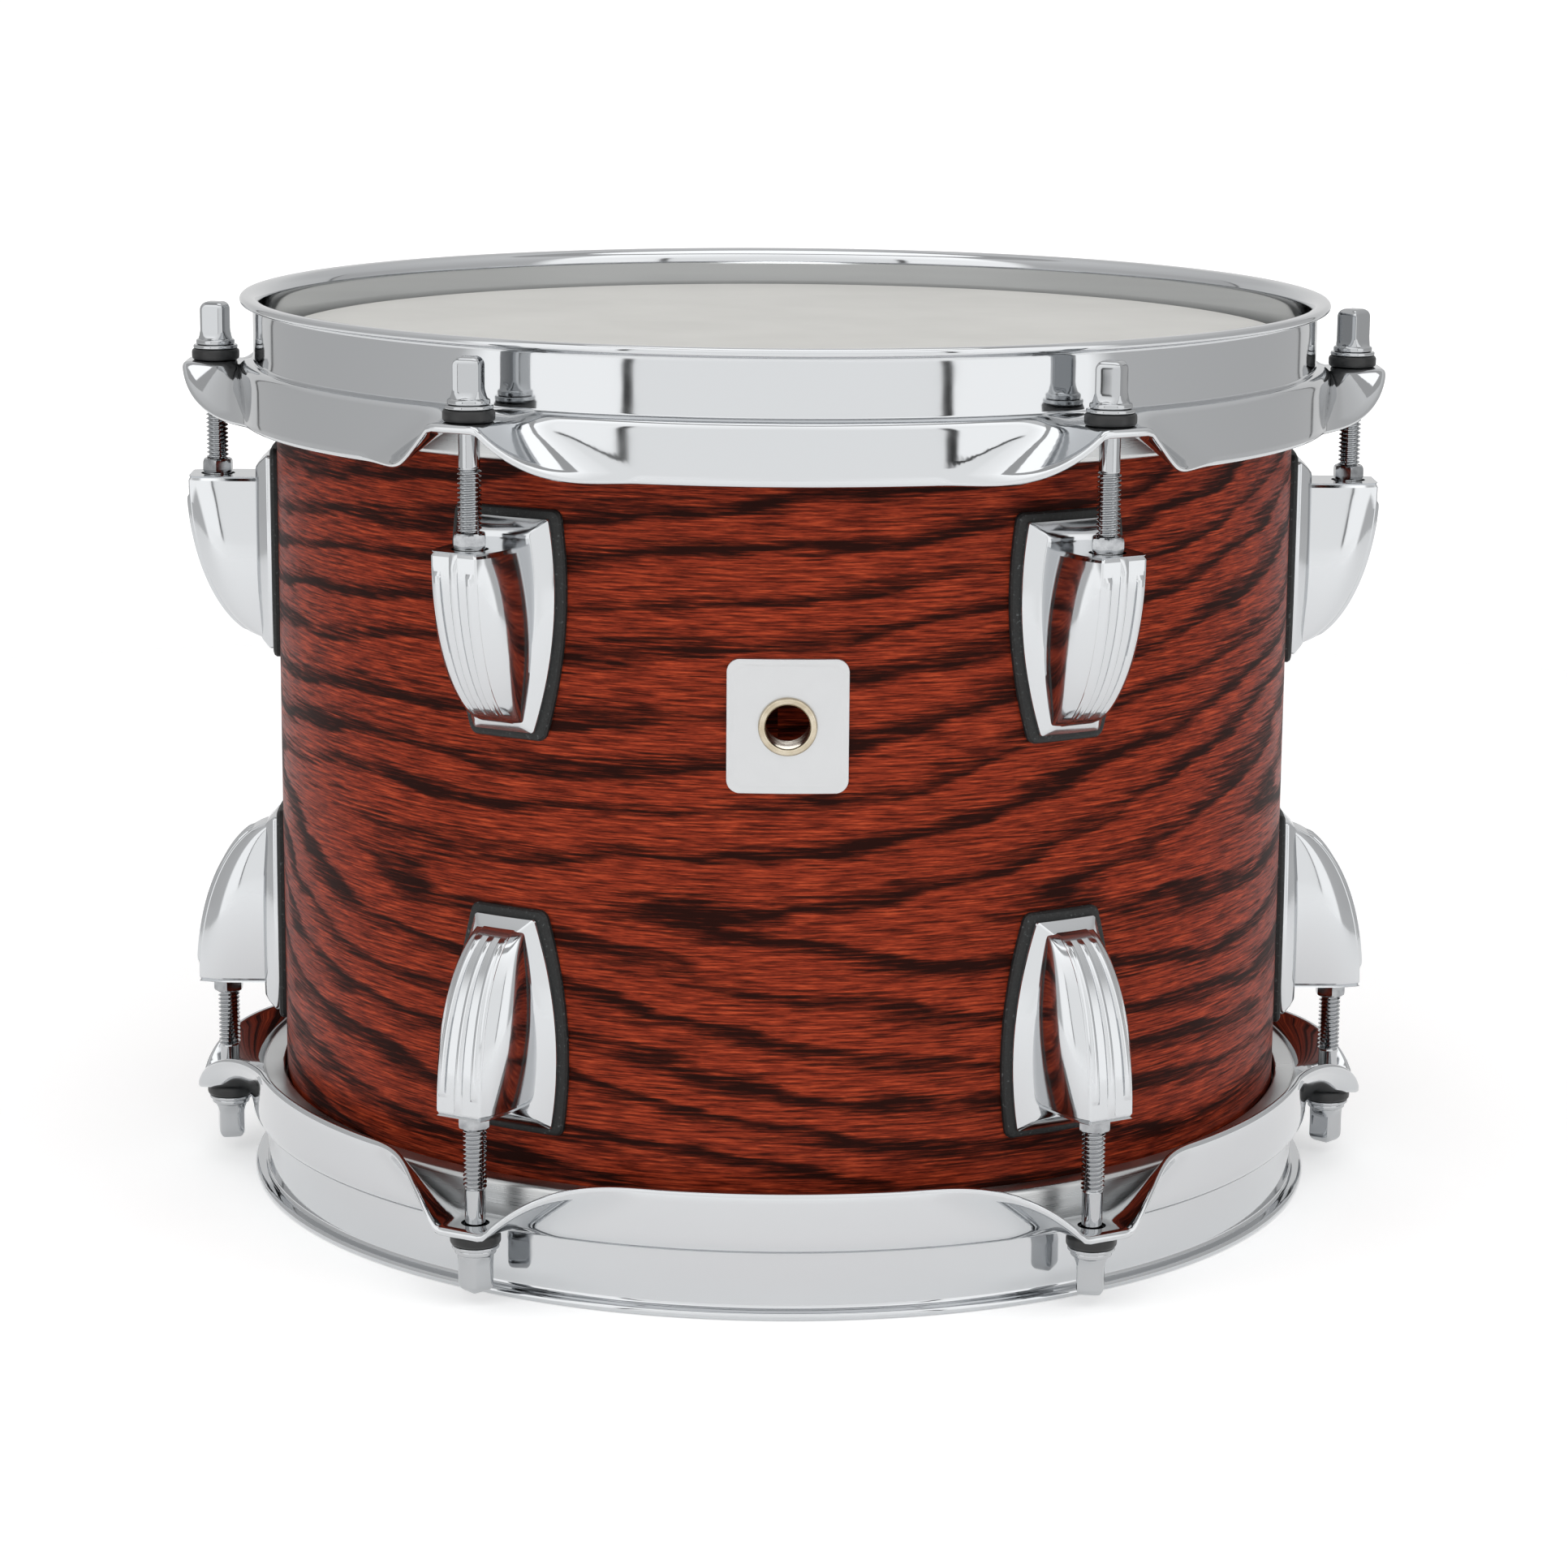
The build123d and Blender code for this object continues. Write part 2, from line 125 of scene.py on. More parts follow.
def oak_veneer():
    """Open pores run along the grain as fine dark dashes on an orange-red ground. They crowd together in the
    early wood of each year, which shows as dark wavy bands that close into pointed tips."""
    made, tree = blank("flat_sawn_oak_veneer_stained_and_lacquered")
    xyz, angle = place_round(tree)
    along = add(tree, "ShaderNodeMath", (angle, SHELL_R * MM), operation="MULTIPLY")
    flat = add(tree, "ShaderNodeCombineXYZ", {"X": along, "Y": xyz.outputs["Z"]})
    # millimetres along the grain and across it, then detail and roughness; the pores are drawn a little
    # coarser than real, and the ground's lines are half a millimetre apart
    noises = {}
    for name, length, rise, detail, rough in (
            ("slow wave", 200, 70, 1, 0.5), ("ripple", 44, 9, 3, 0.5), ("crowding", 60, 14, 2, 0.5),
            ("pore dashes", 15, 0.75, 4, 0.65), ("ground lines", 10, 0.55, 3, 0.7)):
        drawn = add(tree, "ShaderNodeMapping", {"Vector": flat, "Scale": waves(length, rise, 1)})
        noises[name] = add(tree, "ShaderNodeTexNoise", {"Vector": drawn, "Scale": 1.0, "Detail": detail,
                                                        "Roughness": rough})

    # the year rings: heights above a heart line that dips away from the front, bent by the slow waves
    dip = add(tree, "ShaderNodeMath", (angle,), operation="COSINE")
    heart = add(tree, "ShaderNodeMath", (dip, -HEART_DIP * MM, (MIDDLE_Z - HEART_BELOW_MIDDLE) * MM),
                operation="MULTIPLY_ADD")
    height = add(tree, "ShaderNodeMath", (xyz.outputs["Z"], heart), operation="SUBTRACT")
    height = add(tree, "ShaderNodeMath", (noises["slow wave"], WAVE_RISE * MM, height),
                 operation="MULTIPLY_ADD")
    height = add(tree, "ShaderNodeMath", (height, WAVE_RISE / 2 * MM), operation="SUBTRACT")
    spread = add(tree, "ShaderNodeMath", (height, height, (TIP_ROUND * MM) ** 2), operation="MULTIPLY_ADD")
    spread = add(tree, "ShaderNodeMath", (spread,), operation="SQRT")
    years = add(tree, "ShaderNodeMath", (along, -DRIFT, spread), operation="MULTIPLY_ADD")
    years = add(tree, "ShaderNodeMath", (noises["ripple"], RIPPLE_RISE * MM, years),
                operation="MULTIPLY_ADD")
    years = add(tree, "ShaderNodeMath", (years, 1 / (YEAR * MM)), operation="MULTIPLY")
    year = add(tree, "ShaderNodeMath", (years,), operation="FRACT")
    early = add(tree, "ShaderNodeValToRGB", (year,),
                stops=[(0.0, 0.15), (0.14, 1.0), (0.3, 0.7), (0.55, 0.1), (1.0, 0.0)])

    crowd = add(tree, "ShaderNodeMath", (early, noises["crowding"]), operation="MULTIPLY")
    crowd = add(tree, "ShaderNodeMath", (crowd, 0.56, noises["pore dashes"]), operation="MULTIPLY_ADD")
    pore = add(tree, "ShaderNodeValToRGB", (crowd,), stops=[(0.53, 0.0), (0.66, 0.7), (0.78, 1.0)])
    ground = add(tree, "ShaderNodeValToRGB", (noises["ground lines"],),
                 stops=[(0.36, "#471409"), (0.46, "#6C2414"), (0.56, "#8B321C"), (0.68, "#AC4628")])
    stain = add(tree, "ShaderNodeMix", {"Factor": pore, 6: ground, 7: colour("#200804")}, data_type="RGBA")
    rough = add(tree, "ShaderNodeValToRGB", (pore,), stops=[(0.0, 0.36), (1.0, 0.5)])
    dent = add(tree, "ShaderNodeBump", {"Height": pore, "Strength": 0.3, "Distance": 0.1 * MM}, invert=True)
    return surfaced(made, IOR=1.45, Specular_IOR_Level=0.06, Base_Color=stain.outputs[2], Roughness=rough,
                    Normal=dent)


def dress(node, finish):
    """Give a node that is carried over as it is its finish."""
    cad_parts[node].data.materials.clear()
    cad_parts[node].data.materials.append(finish)


dress("shell", oak_veneer())


# Badge and vent ----------------------------------------------------------------------------------------
# A plain plate stamped from thin brass with a raised border, plated and brushed satin, and bent to the
# shell. A nickel-plated brass eyelet is pressed through it and the shell, so that air can get out.

BADGE_RISE = 26.0
BADGE = (27.4, 30.7)
BADGE_ROUND = 3.0
BADGE_THICK = 0.8
BORDER = 1.6
BORDER_RISE = 0.25
VENT_BORE = 5.0
VENT_WALL = 0.6
VENT_FLANGE = 6.7
VENT_FLANGE_RISE = 1.1


def mesh_from(name, points, faces, crease=30):
    """A closed mesh from points in millimetres: doubles merged, faces outward, smooth up to a crease."""
    shape = bmesh.new()
    corners = [shape.verts.new(Vector(p) * MM) for p in points]
    for face in faces:
        if len(set(face)) > 2:
            shape.faces.new([corners[i] for i in dict.fromkeys(face)])
    bmesh.ops.remove_doubles(shape, verts=shape.verts, dist=1e-7)
    bmesh.ops.dissolve_degenerate(shape, edges=shape.edges, dist=1e-8)
    bmesh.ops.recalc_face_normals(shape, faces=shape.faces)
    made = bpy.data.meshes.new(name)
    shape.to_mesh(made)
    shape.free()
    made.shade_smooth()
    made.set_sharp_from_angle(angle=radians(crease))
    return made


def skin(name, loops, crease=30, cap=True):
    """A closed skin over loops of equally many points, one after the other, with flat ends."""
    size = len(loops[0])
    points = [p for loop in loops for p in loop]
    faces = [(a * size + i, a * size + (i + 1) % size, (a + 1) * size + (i + 1) % size, (a + 1) * size + i)
             for a in range(len(loops) - 1) for i in range(size)]
    if cap:
        faces += [tuple(range(size)), tuple(range(len(points) - size, len(points)))]
    return mesh_from(name, points, faces, crease)


def bent(x, radius, z):
    """A point on the round of the drum: x millimetres from its front measured on the shell."""
    return radius * sin(x / SHELL_R), -radius * cos(x / SHELL_R), z


def pad(name, half_width, low, high, levels, crease=30, columns=16, rows=64):
    """A plate bent to the shell. half_width(z) gives its outline between low and high, and each level is
    a radius and how far the outline is drawn in there. The ends are sampled finely for round corners."""
    points = []
    for radius, inset in levels:
        for row in range(rows + 1):
            z = low + (high - low) * (1 - cos(pi * row / rows)) / 2
            at = low + inset + (z - low) * (high - low - 2 * inset) / (high - low)
            half = half_width(z) - inset
            points += [bent(half * (2 * c / columns - 1), radius, at) for c in range(columns + 1)]
    width = columns + 1
    size = width * (rows + 1)
    faces = []
    for start in (0, size * (len(levels) - 1)):
        faces += [(start + r * width + c, start + r * width + c + 1, start + (r + 1) * width + c + 1,
                   start + (r + 1) * width + c) for r in range(rows) for c in range(columns)]
    rim = list(range(width)) + [r * width + columns for r in range(1, rows + 1)]
    rim += [rows * width + c for c in range(columns - 1, -1, -1)]
    rim += [r * width for r in range(rows - 1, 0, -1)]
    for level in range(len(levels) - 1):
        for a, b in zip(rim, rim[1:] + rim[:1]):
            here, above = level * size, (level + 1) * size
            faces.append((here + a, here + b, above + b, above + a))
    used = sorted({i for face in faces for i in face})
    index = {old: new for new, old in enumerate(used)}
    return mesh_from(name, [points[i] for i in used], [[index[i] for i in f] for f in faces], crease)


def piece(name, mesh, body, slot, finish, *nodes):
    """An object at the origin that rides on a body and stands for some nodes."""
    made = bpy.data.objects.new(name, mesh)
    bpy.context.scene.collection.objects.link(made)
    mesh.materials.clear()
    mesh.materials.append(finish)
    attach(made, body)
    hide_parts(*nodes)
    return made


def combined(name, mesh, others, operation):
    """A mesh joined with, or cut by, others."""
    base = bpy.data.objects.new(name, mesh)
    bpy.context.scene.collection.objects.link(base)
    tools = []
    for other in others:
        tool = bpy.data.objects.new("tool", other)
        bpy.context.scene.collection.objects.link(tool)
        modifier = base.modifiers.new("tool", "BOOLEAN")
        modifier.operation = operation
        modifier.solver = "EXACT"
        modifier.object = tool
        tools.append(tool)
    made = bpy.data.meshes.new_from_object(base.evaluated_get(bpy.context.evaluated_depsgraph_get()))
    for thing in [base] + tools:
        bpy.data.objects.remove(thing)
    return made


def round_bar(radius, start, end, steps=48):
    """A round bar between two points in millimetres, which drills a hole."""
    start, end = Vector(start), Vector(end)
    turn = (end - start).to_track_quat("Z", "Y")
    ring = [turn @ Vector((radius * cos(2 * pi * i / steps), radius * sin(2 * pi * i / steps), 0))
            for i in range(steps)]
    return skin("bar", [[centre + spoke for spoke in ring] for centre in (start, end)])


def rounded_end(z, low, high, radius):
    """How far a corner of this radius draws a plate's side in at height z."""
    gap = min(z - low, high - z)
    if gap >= radius:
        return 0.0
    return radius - sqrt(radius ** 2 - (radius - gap) ** 2)


def badge_half_width(z):
    low, high = BADGE_RISE - BADGE[1] / 2, BADGE_RISE + BADGE[1] / 2
    return BADGE[0] / 2 - rounded_end(z, low, high, BADGE_ROUND)


def satin_plate():
    """Nickel plate brushed to a satin: pale, evenly grey, with hair lines across and a fine stamped skin."""
    made, tree = blank("brass_plate_stamped_and_satin_nickelled")
    place = add(tree, "ShaderNodeTexCoord").outputs["Object"]
    # hair lines 9 mm long and 0.12 mm high
    drawn = add(tree, "ShaderNodeMapping", {"Vector": place, "Scale": waves(9, 9, 0.12)})
    hair = add(tree, "ShaderNodeTexNoise", {"Vector": drawn, "Scale": 1.0, "Detail": 2.0})
    cloud = add(tree, "ShaderNodeTexNoise", {"Vector": place, "Scale": waves(4), "Detail": 3.0})
    mixed = add(tree, "ShaderNodeMath", (hair, 0.6, cloud), operation="MULTIPLY_ADD")
    rough = add(tree, "ShaderNodeValToRGB", (mixed,), stops=[(0.5, 0.34), (1.0, 0.46)])
    dent = add(tree, "ShaderNodeBump", {"Height": mixed, "Strength": 0.12, "Distance": 0.05 * MM})
    return surfaced(made, Metallic=1.0, Base_Color=colour("#C9CACB"), Roughness=rough, Normal=dent)


def nickel_eyelet():
    """Bright nickel has a warm, slightly yellow cast; the press leaves faint clouds of roughness."""
    made, tree = blank("brass_eyelet_rolled_and_nickelled")
    place = add(tree, "ShaderNodeTexCoord").outputs["Object"]
    cloud = add(tree, "ShaderNodeTexNoise", {"Vector": place, "Scale": waves(3), "Detail": 3.0})
    tint = add(tree, "ShaderNodeValToRGB", (cloud,), stops=[(0.35, "#B8AC96"), (0.65, "#CBC1AE")])
    rough = add(tree, "ShaderNodeValToRGB", (cloud,), stops=[(0.3, 0.16), (0.7, 0.26)])
    return surfaced(made, Metallic=1.0, Base_Color=tint, Roughness=rough)


face = SHELL_R + BADGE_THICK
levels = [(SHELL_R, 0), (face + BORDER_RISE - 0.2, 0), (face + BORDER_RISE - 0.05, 0.07),
          (face + BORDER_RISE, 0.25), (face + BORDER_RISE, BORDER - 0.5), (face + 0.08, BORDER - 0.1),
          (face, BORDER + 0.2)]
badge_mesh = pad("badge", badge_half_width, BADGE_RISE - BADGE[1] / 2, BADGE_RISE + BADGE[1] / 2, levels,
                 columns=28)
vent_axis = [(0, -SHELL_R + 3, BADGE_RISE), (0, -SHELL_R - 5, BADGE_RISE)]
vent_hole = round_bar(VENT_BORE + VENT_WALL + 0.2, *vent_axis)
badge_mesh = combined("badge", badge_mesh, [vent_hole], "DIFFERENCE")


def turned_eyelet():
    """The eyelet's outline, from its inner flange to the rolled lip in front, turned about the vent."""
    inner = -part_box("vent_grommet")[1].y / MM
    front = SHELL_R + BADGE_THICK
    wall = VENT_BORE + VENT_WALL
    line = [(VENT_BORE, inner + 0.4), (VENT_BORE + 0.3, inner), (VENT_FLANGE, inner),
            (VENT_FLANGE + 0.3, inner + 0.5), (VENT_FLANGE, inner + VENT_FLANGE_RISE),
            (wall, inner + VENT_FLANGE_RISE), (wall, front), (VENT_FLANGE, front)]
    middle = (VENT_FLANGE + VENT_BORE) / 2
    for i in range(13):
        a = pi * i / 12
        line.append((middle + (VENT_FLANGE - middle) * cos(a),
                     front + VENT_FLANGE_RISE * (0.25 + 0.75 * sin(a))))
    line.append((VENT_BORE, front - 1))
    steps = 64
    loops = [[(r * sin(2 * pi * i / steps), -y, BADGE_RISE + r * cos(2 * pi * i / steps)) for r, y in line]
             for i in range(steps)]
    return skin("eyelet", loops + loops[:1], 40, cap=False)


def lifted(mesh):
    """A mesh drawn about the middle of the shell, put at its real height."""
    mesh.transform(Matrix.Translation((0, 0, MIDDLE_Z * MM)))
    return mesh


piece("badge_plate", lifted(badge_mesh), "shell", "badge_plate", satin_plate(), "badge")
piece("vent_eyelet", lifted(turned_eyelet()), "shell", "nickel_eyelet", nickel_eyelet(), "vent_grommet")


# Lugs --------------------------------------------------------------------------------------------------
# Each lug is a hollow zinc casting, chrome plated: a bevelled plinth with a nut tower whose flanks swell
# and whose face has three beads. It sits on a moulded rubber gasket, and a swivel nut stands out
# of its end. Two screws from inside the shell hold it, and a spring clip keeps the nut from rattling.

SIDES = ("batter", "resonant")
LUGS = 6
FIRST_LUG = 30.0
LUG_BASE = 128.3
LUG_TOP = 65.1
LUG_FACE = 148.8
PLINTH_LOW, PLINTH_HIGH = 21.7, 71.0
# half widths at the nut end, at the widest place and at the foot
PLINTH_HALVES = (11.9, 13.3, 7.9)
TOWER_HALVES = (7.6, 9.6, 6.3)
GASKET_BORDER = 1.9
# where an outline is widest, from its nut end (0) to its foot (1)
WIDEST = 0.43
TOWER_ROUND = 1.1
TOWER_DROP = 40.4
TOWER_EDGE = 0.5
TOWER_LENGTH = 41.5
FACE_HALF = 6.05
FACE_TAPER = 0.22
BEAD = 0.78
LUG_BORE = 4.24
ROD_R = 142.06


def new_tree(name, *sizes):
    """A geometry node tree with a geometry in and out, a named input for each size, and a finish."""
    tree = bpy.data.node_groups.new(name, "GeometryNodeTree")
    tree.interface.new_socket("Geometry", in_out="OUTPUT", socket_type="NodeSocketGeometry")
    for label, kind in (("Geometry", "Geometry"), *sizes, ("Finish", "Material")):
        tree.interface.new_socket(label, in_out="INPUT", socket_type="NodeSocket" + kind)
    return tree, add(tree, "NodeGroupInput").outputs


def end_tree(tree, given, geometry):
    """The end of a tree: real geometry with the finish that is given."""
    real = add(tree, "GeometryNodeRealizeInstances", (geometry,))
    done = add(tree, "GeometryNodeSetMaterial", {"Geometry": real, "Material": given["Finish"]})
    add(tree, "NodeGroupOutput", (done,))
    return tree


def copies_tree():
    """Geometry nodes: copies of a piece turned round the drum, the upper or the lower set."""
    tree, given = new_tree("set_round_the_drum", ("Copies", "Int"), ("First Angle", "Float"),
                           ("Turned Over", "Float"), ("Middle Height", "Float"))
    height = add(tree, "ShaderNodeCombineXYZ", {"Z": given["Middle Height"]})
    places = add(tree, "GeometryNodePoints", {"Count": given["Copies"], "Position": height})
    step = add(tree, "ShaderNodeMath", (2 * pi, given["Copies"]), operation="DIVIDE")
    turn = add(tree, "ShaderNodeMath", (add(tree, "GeometryNodeInputIndex"), step, given["First Angle"]),
               operation="MULTIPLY_ADD")
    over = add(tree, "ShaderNodeMath", (given["Turned Over"], pi), operation="MULTIPLY")
    rotation = add(tree, "ShaderNodeCombineXYZ", {"Y": over, "Z": turn})
    copies = add(tree, "GeometryNodeInstanceOnPoints", {"Points": places, "Instance": given["Geometry"],
                                                        "Rotation": rotation})
    return end_tree(tree, given, copies)


def grown(name, mesh, *steps):
    """The mesh that geometry node trees make of a mesh; a step is a tree and the values of its inputs."""
    source = bpy.data.objects.new(name, mesh)
    bpy.context.scene.collection.objects.link(source)
    for tree, values in steps:
        modifier = source.modifiers.new(tree.name, "NODES")
        modifier.node_group = tree
        sockets = {s.name: s.identifier for s in tree.interface.items_tree if s.in_out == "INPUT"}
        for key, value in values.items():
            modifier[sockets[key]] = value
    made = bpy.data.meshes.new_from_object(source.evaluated_get(bpy.context.evaluated_depsgraph_get()))
    source.modifiers.clear()
    bpy.data.objects.remove(source)
    made.name = name
    return made


SET_ROUND = copies_tree()


def set_round(name, mesh, side, finish, first=FIRST_LUG, copies=LUGS):
    """Copies of a piece at each lug of one side."""
    return grown(name, mesh, (SET_ROUND, {"Copies": copies, "First Angle": radians(first), "Finish": finish,
                                          "Turned Over": float(side == "resonant"),
                                          "Middle Height": MIDDLE_Z * MM}))


def bowed(t, top, middle, end):
    """Half a width that goes through three: at the nut end, at the widest place and at the foot."""
    a = ((end - top) - (middle - top) / WIDEST) / (1.0 - WIDEST)
    b = (middle - top) / WIDEST - a * WIDEST
    return top + b * t + a * t * t


def outline_half_width(z, border=0.0, corner=0.6):
    """Half the width of the plinth at a height: blunt at the nut end, widest below it, and bowed sides."""
    low, high = PLINTH_LOW - border, PLINTH_HIGH + border
    half = bowed((high - z) / (high - low), *PLINTH_HALVES)
    return half + border - rounded_end(z, low, high, corner)


def gasket_mesh():
    low, high = PLINTH_LOW - GASKET_BORDER, PLINTH_HIGH + GASKET_BORDER
    levels = [(SHELL_R, 0), (LUG_BASE - 0.9, 0), (LUG_BASE - 0.3, 0.35), (LUG_BASE, 1.0)]
    return pad("gasket", lambda z: outline_half_width(z, GASKET_BORDER, 1.6), low, high, levels)


def plinth_mesh():
    """A low bevelled block: an upright side, a wide bevel, and a flat top that the tower covers."""
    levels = [(LUG_BASE, 0), (LUG_BASE + 0.6, 0), (LUG_BASE + 0.95, 0.12), (LUG_BASE + 2.6, 1.7),
              (LUG_BASE + 3.5, 2.9), (LUG_BASE + 3.7, 3.5), (LUG_BASE + 3.7, 4.5)]
    return pad("plinth", outline_half_width, PLINTH_LOW, PLINTH_HIGH, levels, crease=20)


def bead_height(across, z, face_half):
    """Three rounded beads that start below the nut end, the middle one first, and end at the foot."""
    height = 0.0
    for place, start in ((-0.72, 60.2), (0.0, 63.0), (0.72, 60.2)):
        gap = abs(across - place * face_half) / (0.17 * face_half)
        rise = min(1.0, max(0.0, (start - z) / 1.2))
        fall = min(1.0, max(0.0, (z - 25.6) / 0.5))
        if gap < 1 and rise > 0:
            height = max(height, BEAD * sqrt(1 - gap * gap) * sqrt(rise * (2 - rise)) * fall)
    return height


def tower_slice(z, inset):
    """One level slice of the nut tower, from the left root round the face to the right root."""
    below = max(0.0, LUG_TOP - TOWER_ROUND - z)
    face_r = LUG_BASE + (LUG_FACE - LUG_BASE) * sqrt(1 - (below / TOWER_DROP) ** 2)
    # the face narrows by its taper 35 mm down, more and more towards the foot
    face_half = FACE_HALF * (1 - FACE_TAPER * (below / 35) ** 2) - inset
    root_half = max(bowed((LUG_TOP - z) / TOWER_LENGTH, *TOWER_HALVES), face_half + 0.3) - inset
    face_r -= inset
    edge = min(TOWER_EDGE, (face_r - LUG_BASE) / 4)
    # the flank leaves the root flat and swells more and more towards the face
    root_r = LUG_BASE + 0.2
    flank = [(face_half + (root_half - face_half) * (1 - (i / 14) ** 6),
              root_r + (face_r - edge - root_r) * i / 14) for i in range(15)]
    for i in range(1, 4):
        a = pi / 2 * i / 4
        flank.append((face_half - edge * (1 - cos(a)), face_r - edge * (1 - sin(a))))
    left = [(-x, -r, z) for x, r in flank]
    right = [(x, -r, z) for x, r in reversed(flank)]
    face = []
    for i in range(61):
        x = (face_half - edge) * (i / 30 - 1)
        face.append((x, -(face_r + (bead_height(x, z, face_half) if inset == 0 else 0)), z))
    return left + face + right


def tower_mesh():
    """Slices from the rounded end of the tower down its quarter-ellipse to inside the plinth."""
    rounding = 0.6
    loops = [tower_slice(LUG_TOP - rounding * (1 - sin(pi / 2 * i / 4)),
                         rounding * (1 - cos(pi / 2 * (4 - i) / 4))) for i in range(4, 0, -1)]
    loops += [tower_slice(LUG_TOP - TOWER_ROUND - TOWER_DROP * sin(radians(86) * (i / 74) ** 0.9), 0)
              for i in range(75)]
    return skin("tower", loops, crease=24)


def lug_mesh():
    lug = combined("lug", plinth_mesh(), [tower_mesh()], "UNION")
    bore = round_bar(LUG_BORE, (0, -ROD_R, 49), (0, -ROD_R, LUG_TOP + 5))
    lug = combined("lug", lug, [bore], "DIFFERENCE")
    lug.shade_smooth()
    lug.set_sharp_from_angle(angle=radians(24))
    return lug


def chrome(name, tint, roughness, wave):
    """Bright chrome over polished metal: a cold, clean mirror. The polishing leaves slow waves, and
    handling a little haze."""
    made, tree = blank(name)
    place = add(tree, "ShaderNodeTexCoord").outputs["Object"]
    haze = add(tree, "ShaderNodeTexNoise", {"Vector": place, "Scale": waves(16), "Detail": 4.0,
                                            "Roughness": 0.6})
    rough = add(tree, "ShaderNodeValToRGB", (haze,), stops=[(0.35, roughness), (0.75, roughness + 0.05)])
    slow = add(tree, "ShaderNodeTexNoise", {"Vector": place, "Scale": waves(11), "Detail": 1.0})
    dent = add(tree, "ShaderNodeBump", {"Height": slow, "Strength": wave, "Distance": 0.3 * MM})
    return surfaced(made, Metallic=1.0, Base_Color=colour(tint), Roughness=rough, Normal=dent)


def moulded_rubber():
    """Black rubber with a dull, faintly grained skin that holds a few specks of dust."""
    made, tree = blank("black_rubber_moulded")
    place = add(tree, "ShaderNodeTexCoord").outputs["Object"]
    skin_grain = add(tree, "ShaderNodeTexNoise", {"Vector": place, "Scale": waves(0.35), "Detail": 2.0})
    dust = add(tree, "ShaderNodeTexNoise", {"Vector": place, "Scale": waves(0.8), "Detail": 1.0})
    tint = add(tree, "ShaderNodeValToRGB", (dust,),
               stops=[(0.55, "#141515"), (0.68, "#1F2121"), (0.80, "#4C4F50")])
    rough = add(tree, "ShaderNodeValToRGB", (skin_grain,), stops=[(0.3, 0.5), (0.7, 0.66)])
    dent = add(tree, "ShaderNodeBump", {"Height": skin_grain, "Strength": 0.5, "Distance": 0.06 * MM})
    return surfaced(made, IOR=1.5, Specular_IOR_Level=0.4, Base_Color=tint, Roughness=rough, Normal=dent)


def shaped(name, rows, sides, steps=48, crease=32):
    """A turned bar on the rod's axis with flats: each row is its height, its radius, and the distance from
    the axis to its flats, or 0 for none."""
    part = 2 * pi / sides
    softness = 7
    loops = []
    for z, radius, flat in rows:
        loop = []
        for i in range(steps):
            a = 2 * pi * i / steps
            r = radius
            if flat:
                to_flat = flat / cos((a + part / 2) % part - part / 2)
                # a soft meeting of the round and the flats
                r = -log(exp(-softness * radius) + exp(-softness * to_flat)) / softness
            loop.append((r * sin(a), -ROD_R - r * cos(a), z))
        loops.append(loop)
    return skin(name, loops, crease)


def nut_mesh():
    """Swivel nut: the flange that the casing holds, the neck, and a chamfered hexagon."""
    rows = [(54.9, 4.2, 0), (55.1, 4.4, 0), (62.7, 4.4, 0), (62.9, 4.2, 0), (62.9, 3.6, 0), (65.4, 3.6, 0)]
    rows += [(z, radius, 3.5) for z, radius in (
        (65.4, 3.62), (65.95, 4.15), (66.3, 4.5), (67.6, 4.5), (68.1, 4.2), (68.5, 3.85), (68.8, 3.4))]
    bore = round_bar(2.86, (0, -ROD_R, 50), (0, -ROD_R, 75))
    return combined("nut", shaped("nut", rows, 6, steps=60, crease=28), [bore], "DIFFERENCE")


def plated_steel(name, tint, roughness):
    """Machined and plated steel, a little darker and softer than chrome."""
    made, tree = blank(name)
    place = add(tree, "ShaderNodeTexCoord").outputs["Object"]
    cloud = add(tree, "ShaderNodeTexNoise", {"Vector": place, "Scale": waves(2.5), "Detail": 3.0})
    shade = add(tree, "ShaderNodeValToRGB", (cloud,), stops=[(0.3, tint[0]), (0.7, tint[1])])
    rough = add(tree, "ShaderNodeValToRGB", (cloud,), stops=[(0.3, roughness), (0.7, roughness + 0.08)])
    return surfaced(made, Metallic=1.0, Base_Color=shade, Roughness=rough)


rubber = moulded_rubber()
lug_chrome = chrome("zinc_casting_polished_and_chromed", "#C9CBCD", 0.08, 0.10)
nut_steel = plated_steel("steel_turned_and_nickelled", ("#8F9194", "#B4B6B8"), 0.10)
spring_steel = plated_steel("spring_steel_blued", ("#4A4C52", "#6A6B70"), 0.3)
screw_steel = plated_steel("steel_screw_zinc_plated", ("#A9ABAF", "#C9CBCE"), 0.28)
gasket, lug, nut = gasket_mesh(), lug_mesh(), nut_mesh()
for side in SIDES:
    numbered = range(1, LUGS + 1)
    piece(f"{side}_gasket_set", set_round(f"{side}_gasket_set", gasket, side, rubber), "shell",
          "gasket_rubber", rubber, *[f"{side}_lug_gasket_{n}" for n in numbered])
    piece(f"{side}_lug_castings", set_round(f"{side}_lug_castings", lug, side, lug_chrome), "shell",
          "lug_chrome", lug_chrome, *[f"{side}_lug_{n}" for n in numbered])
    piece(f"{side}_swivel_nut_set", set_round(f"{side}_swivel_nut_set", nut, side, nut_steel), "shell",
          "nut_steel", nut_steel, f"{side}_swivel_nuts")
    dress(f"{side}_nut_clips", spring_steel)
    dress(f"{side}_lug_screws", screw_steel)
    dress(f"{side}_lug_screw_washers", screw_steel)


# Heads -------------------------------------------------------------------------------------------------
# A polyester film with a sprayed white coating, stretched over the bearing edge. Its collar runs down into
# a rolled aluminium flesh hoop, where it is crimped.

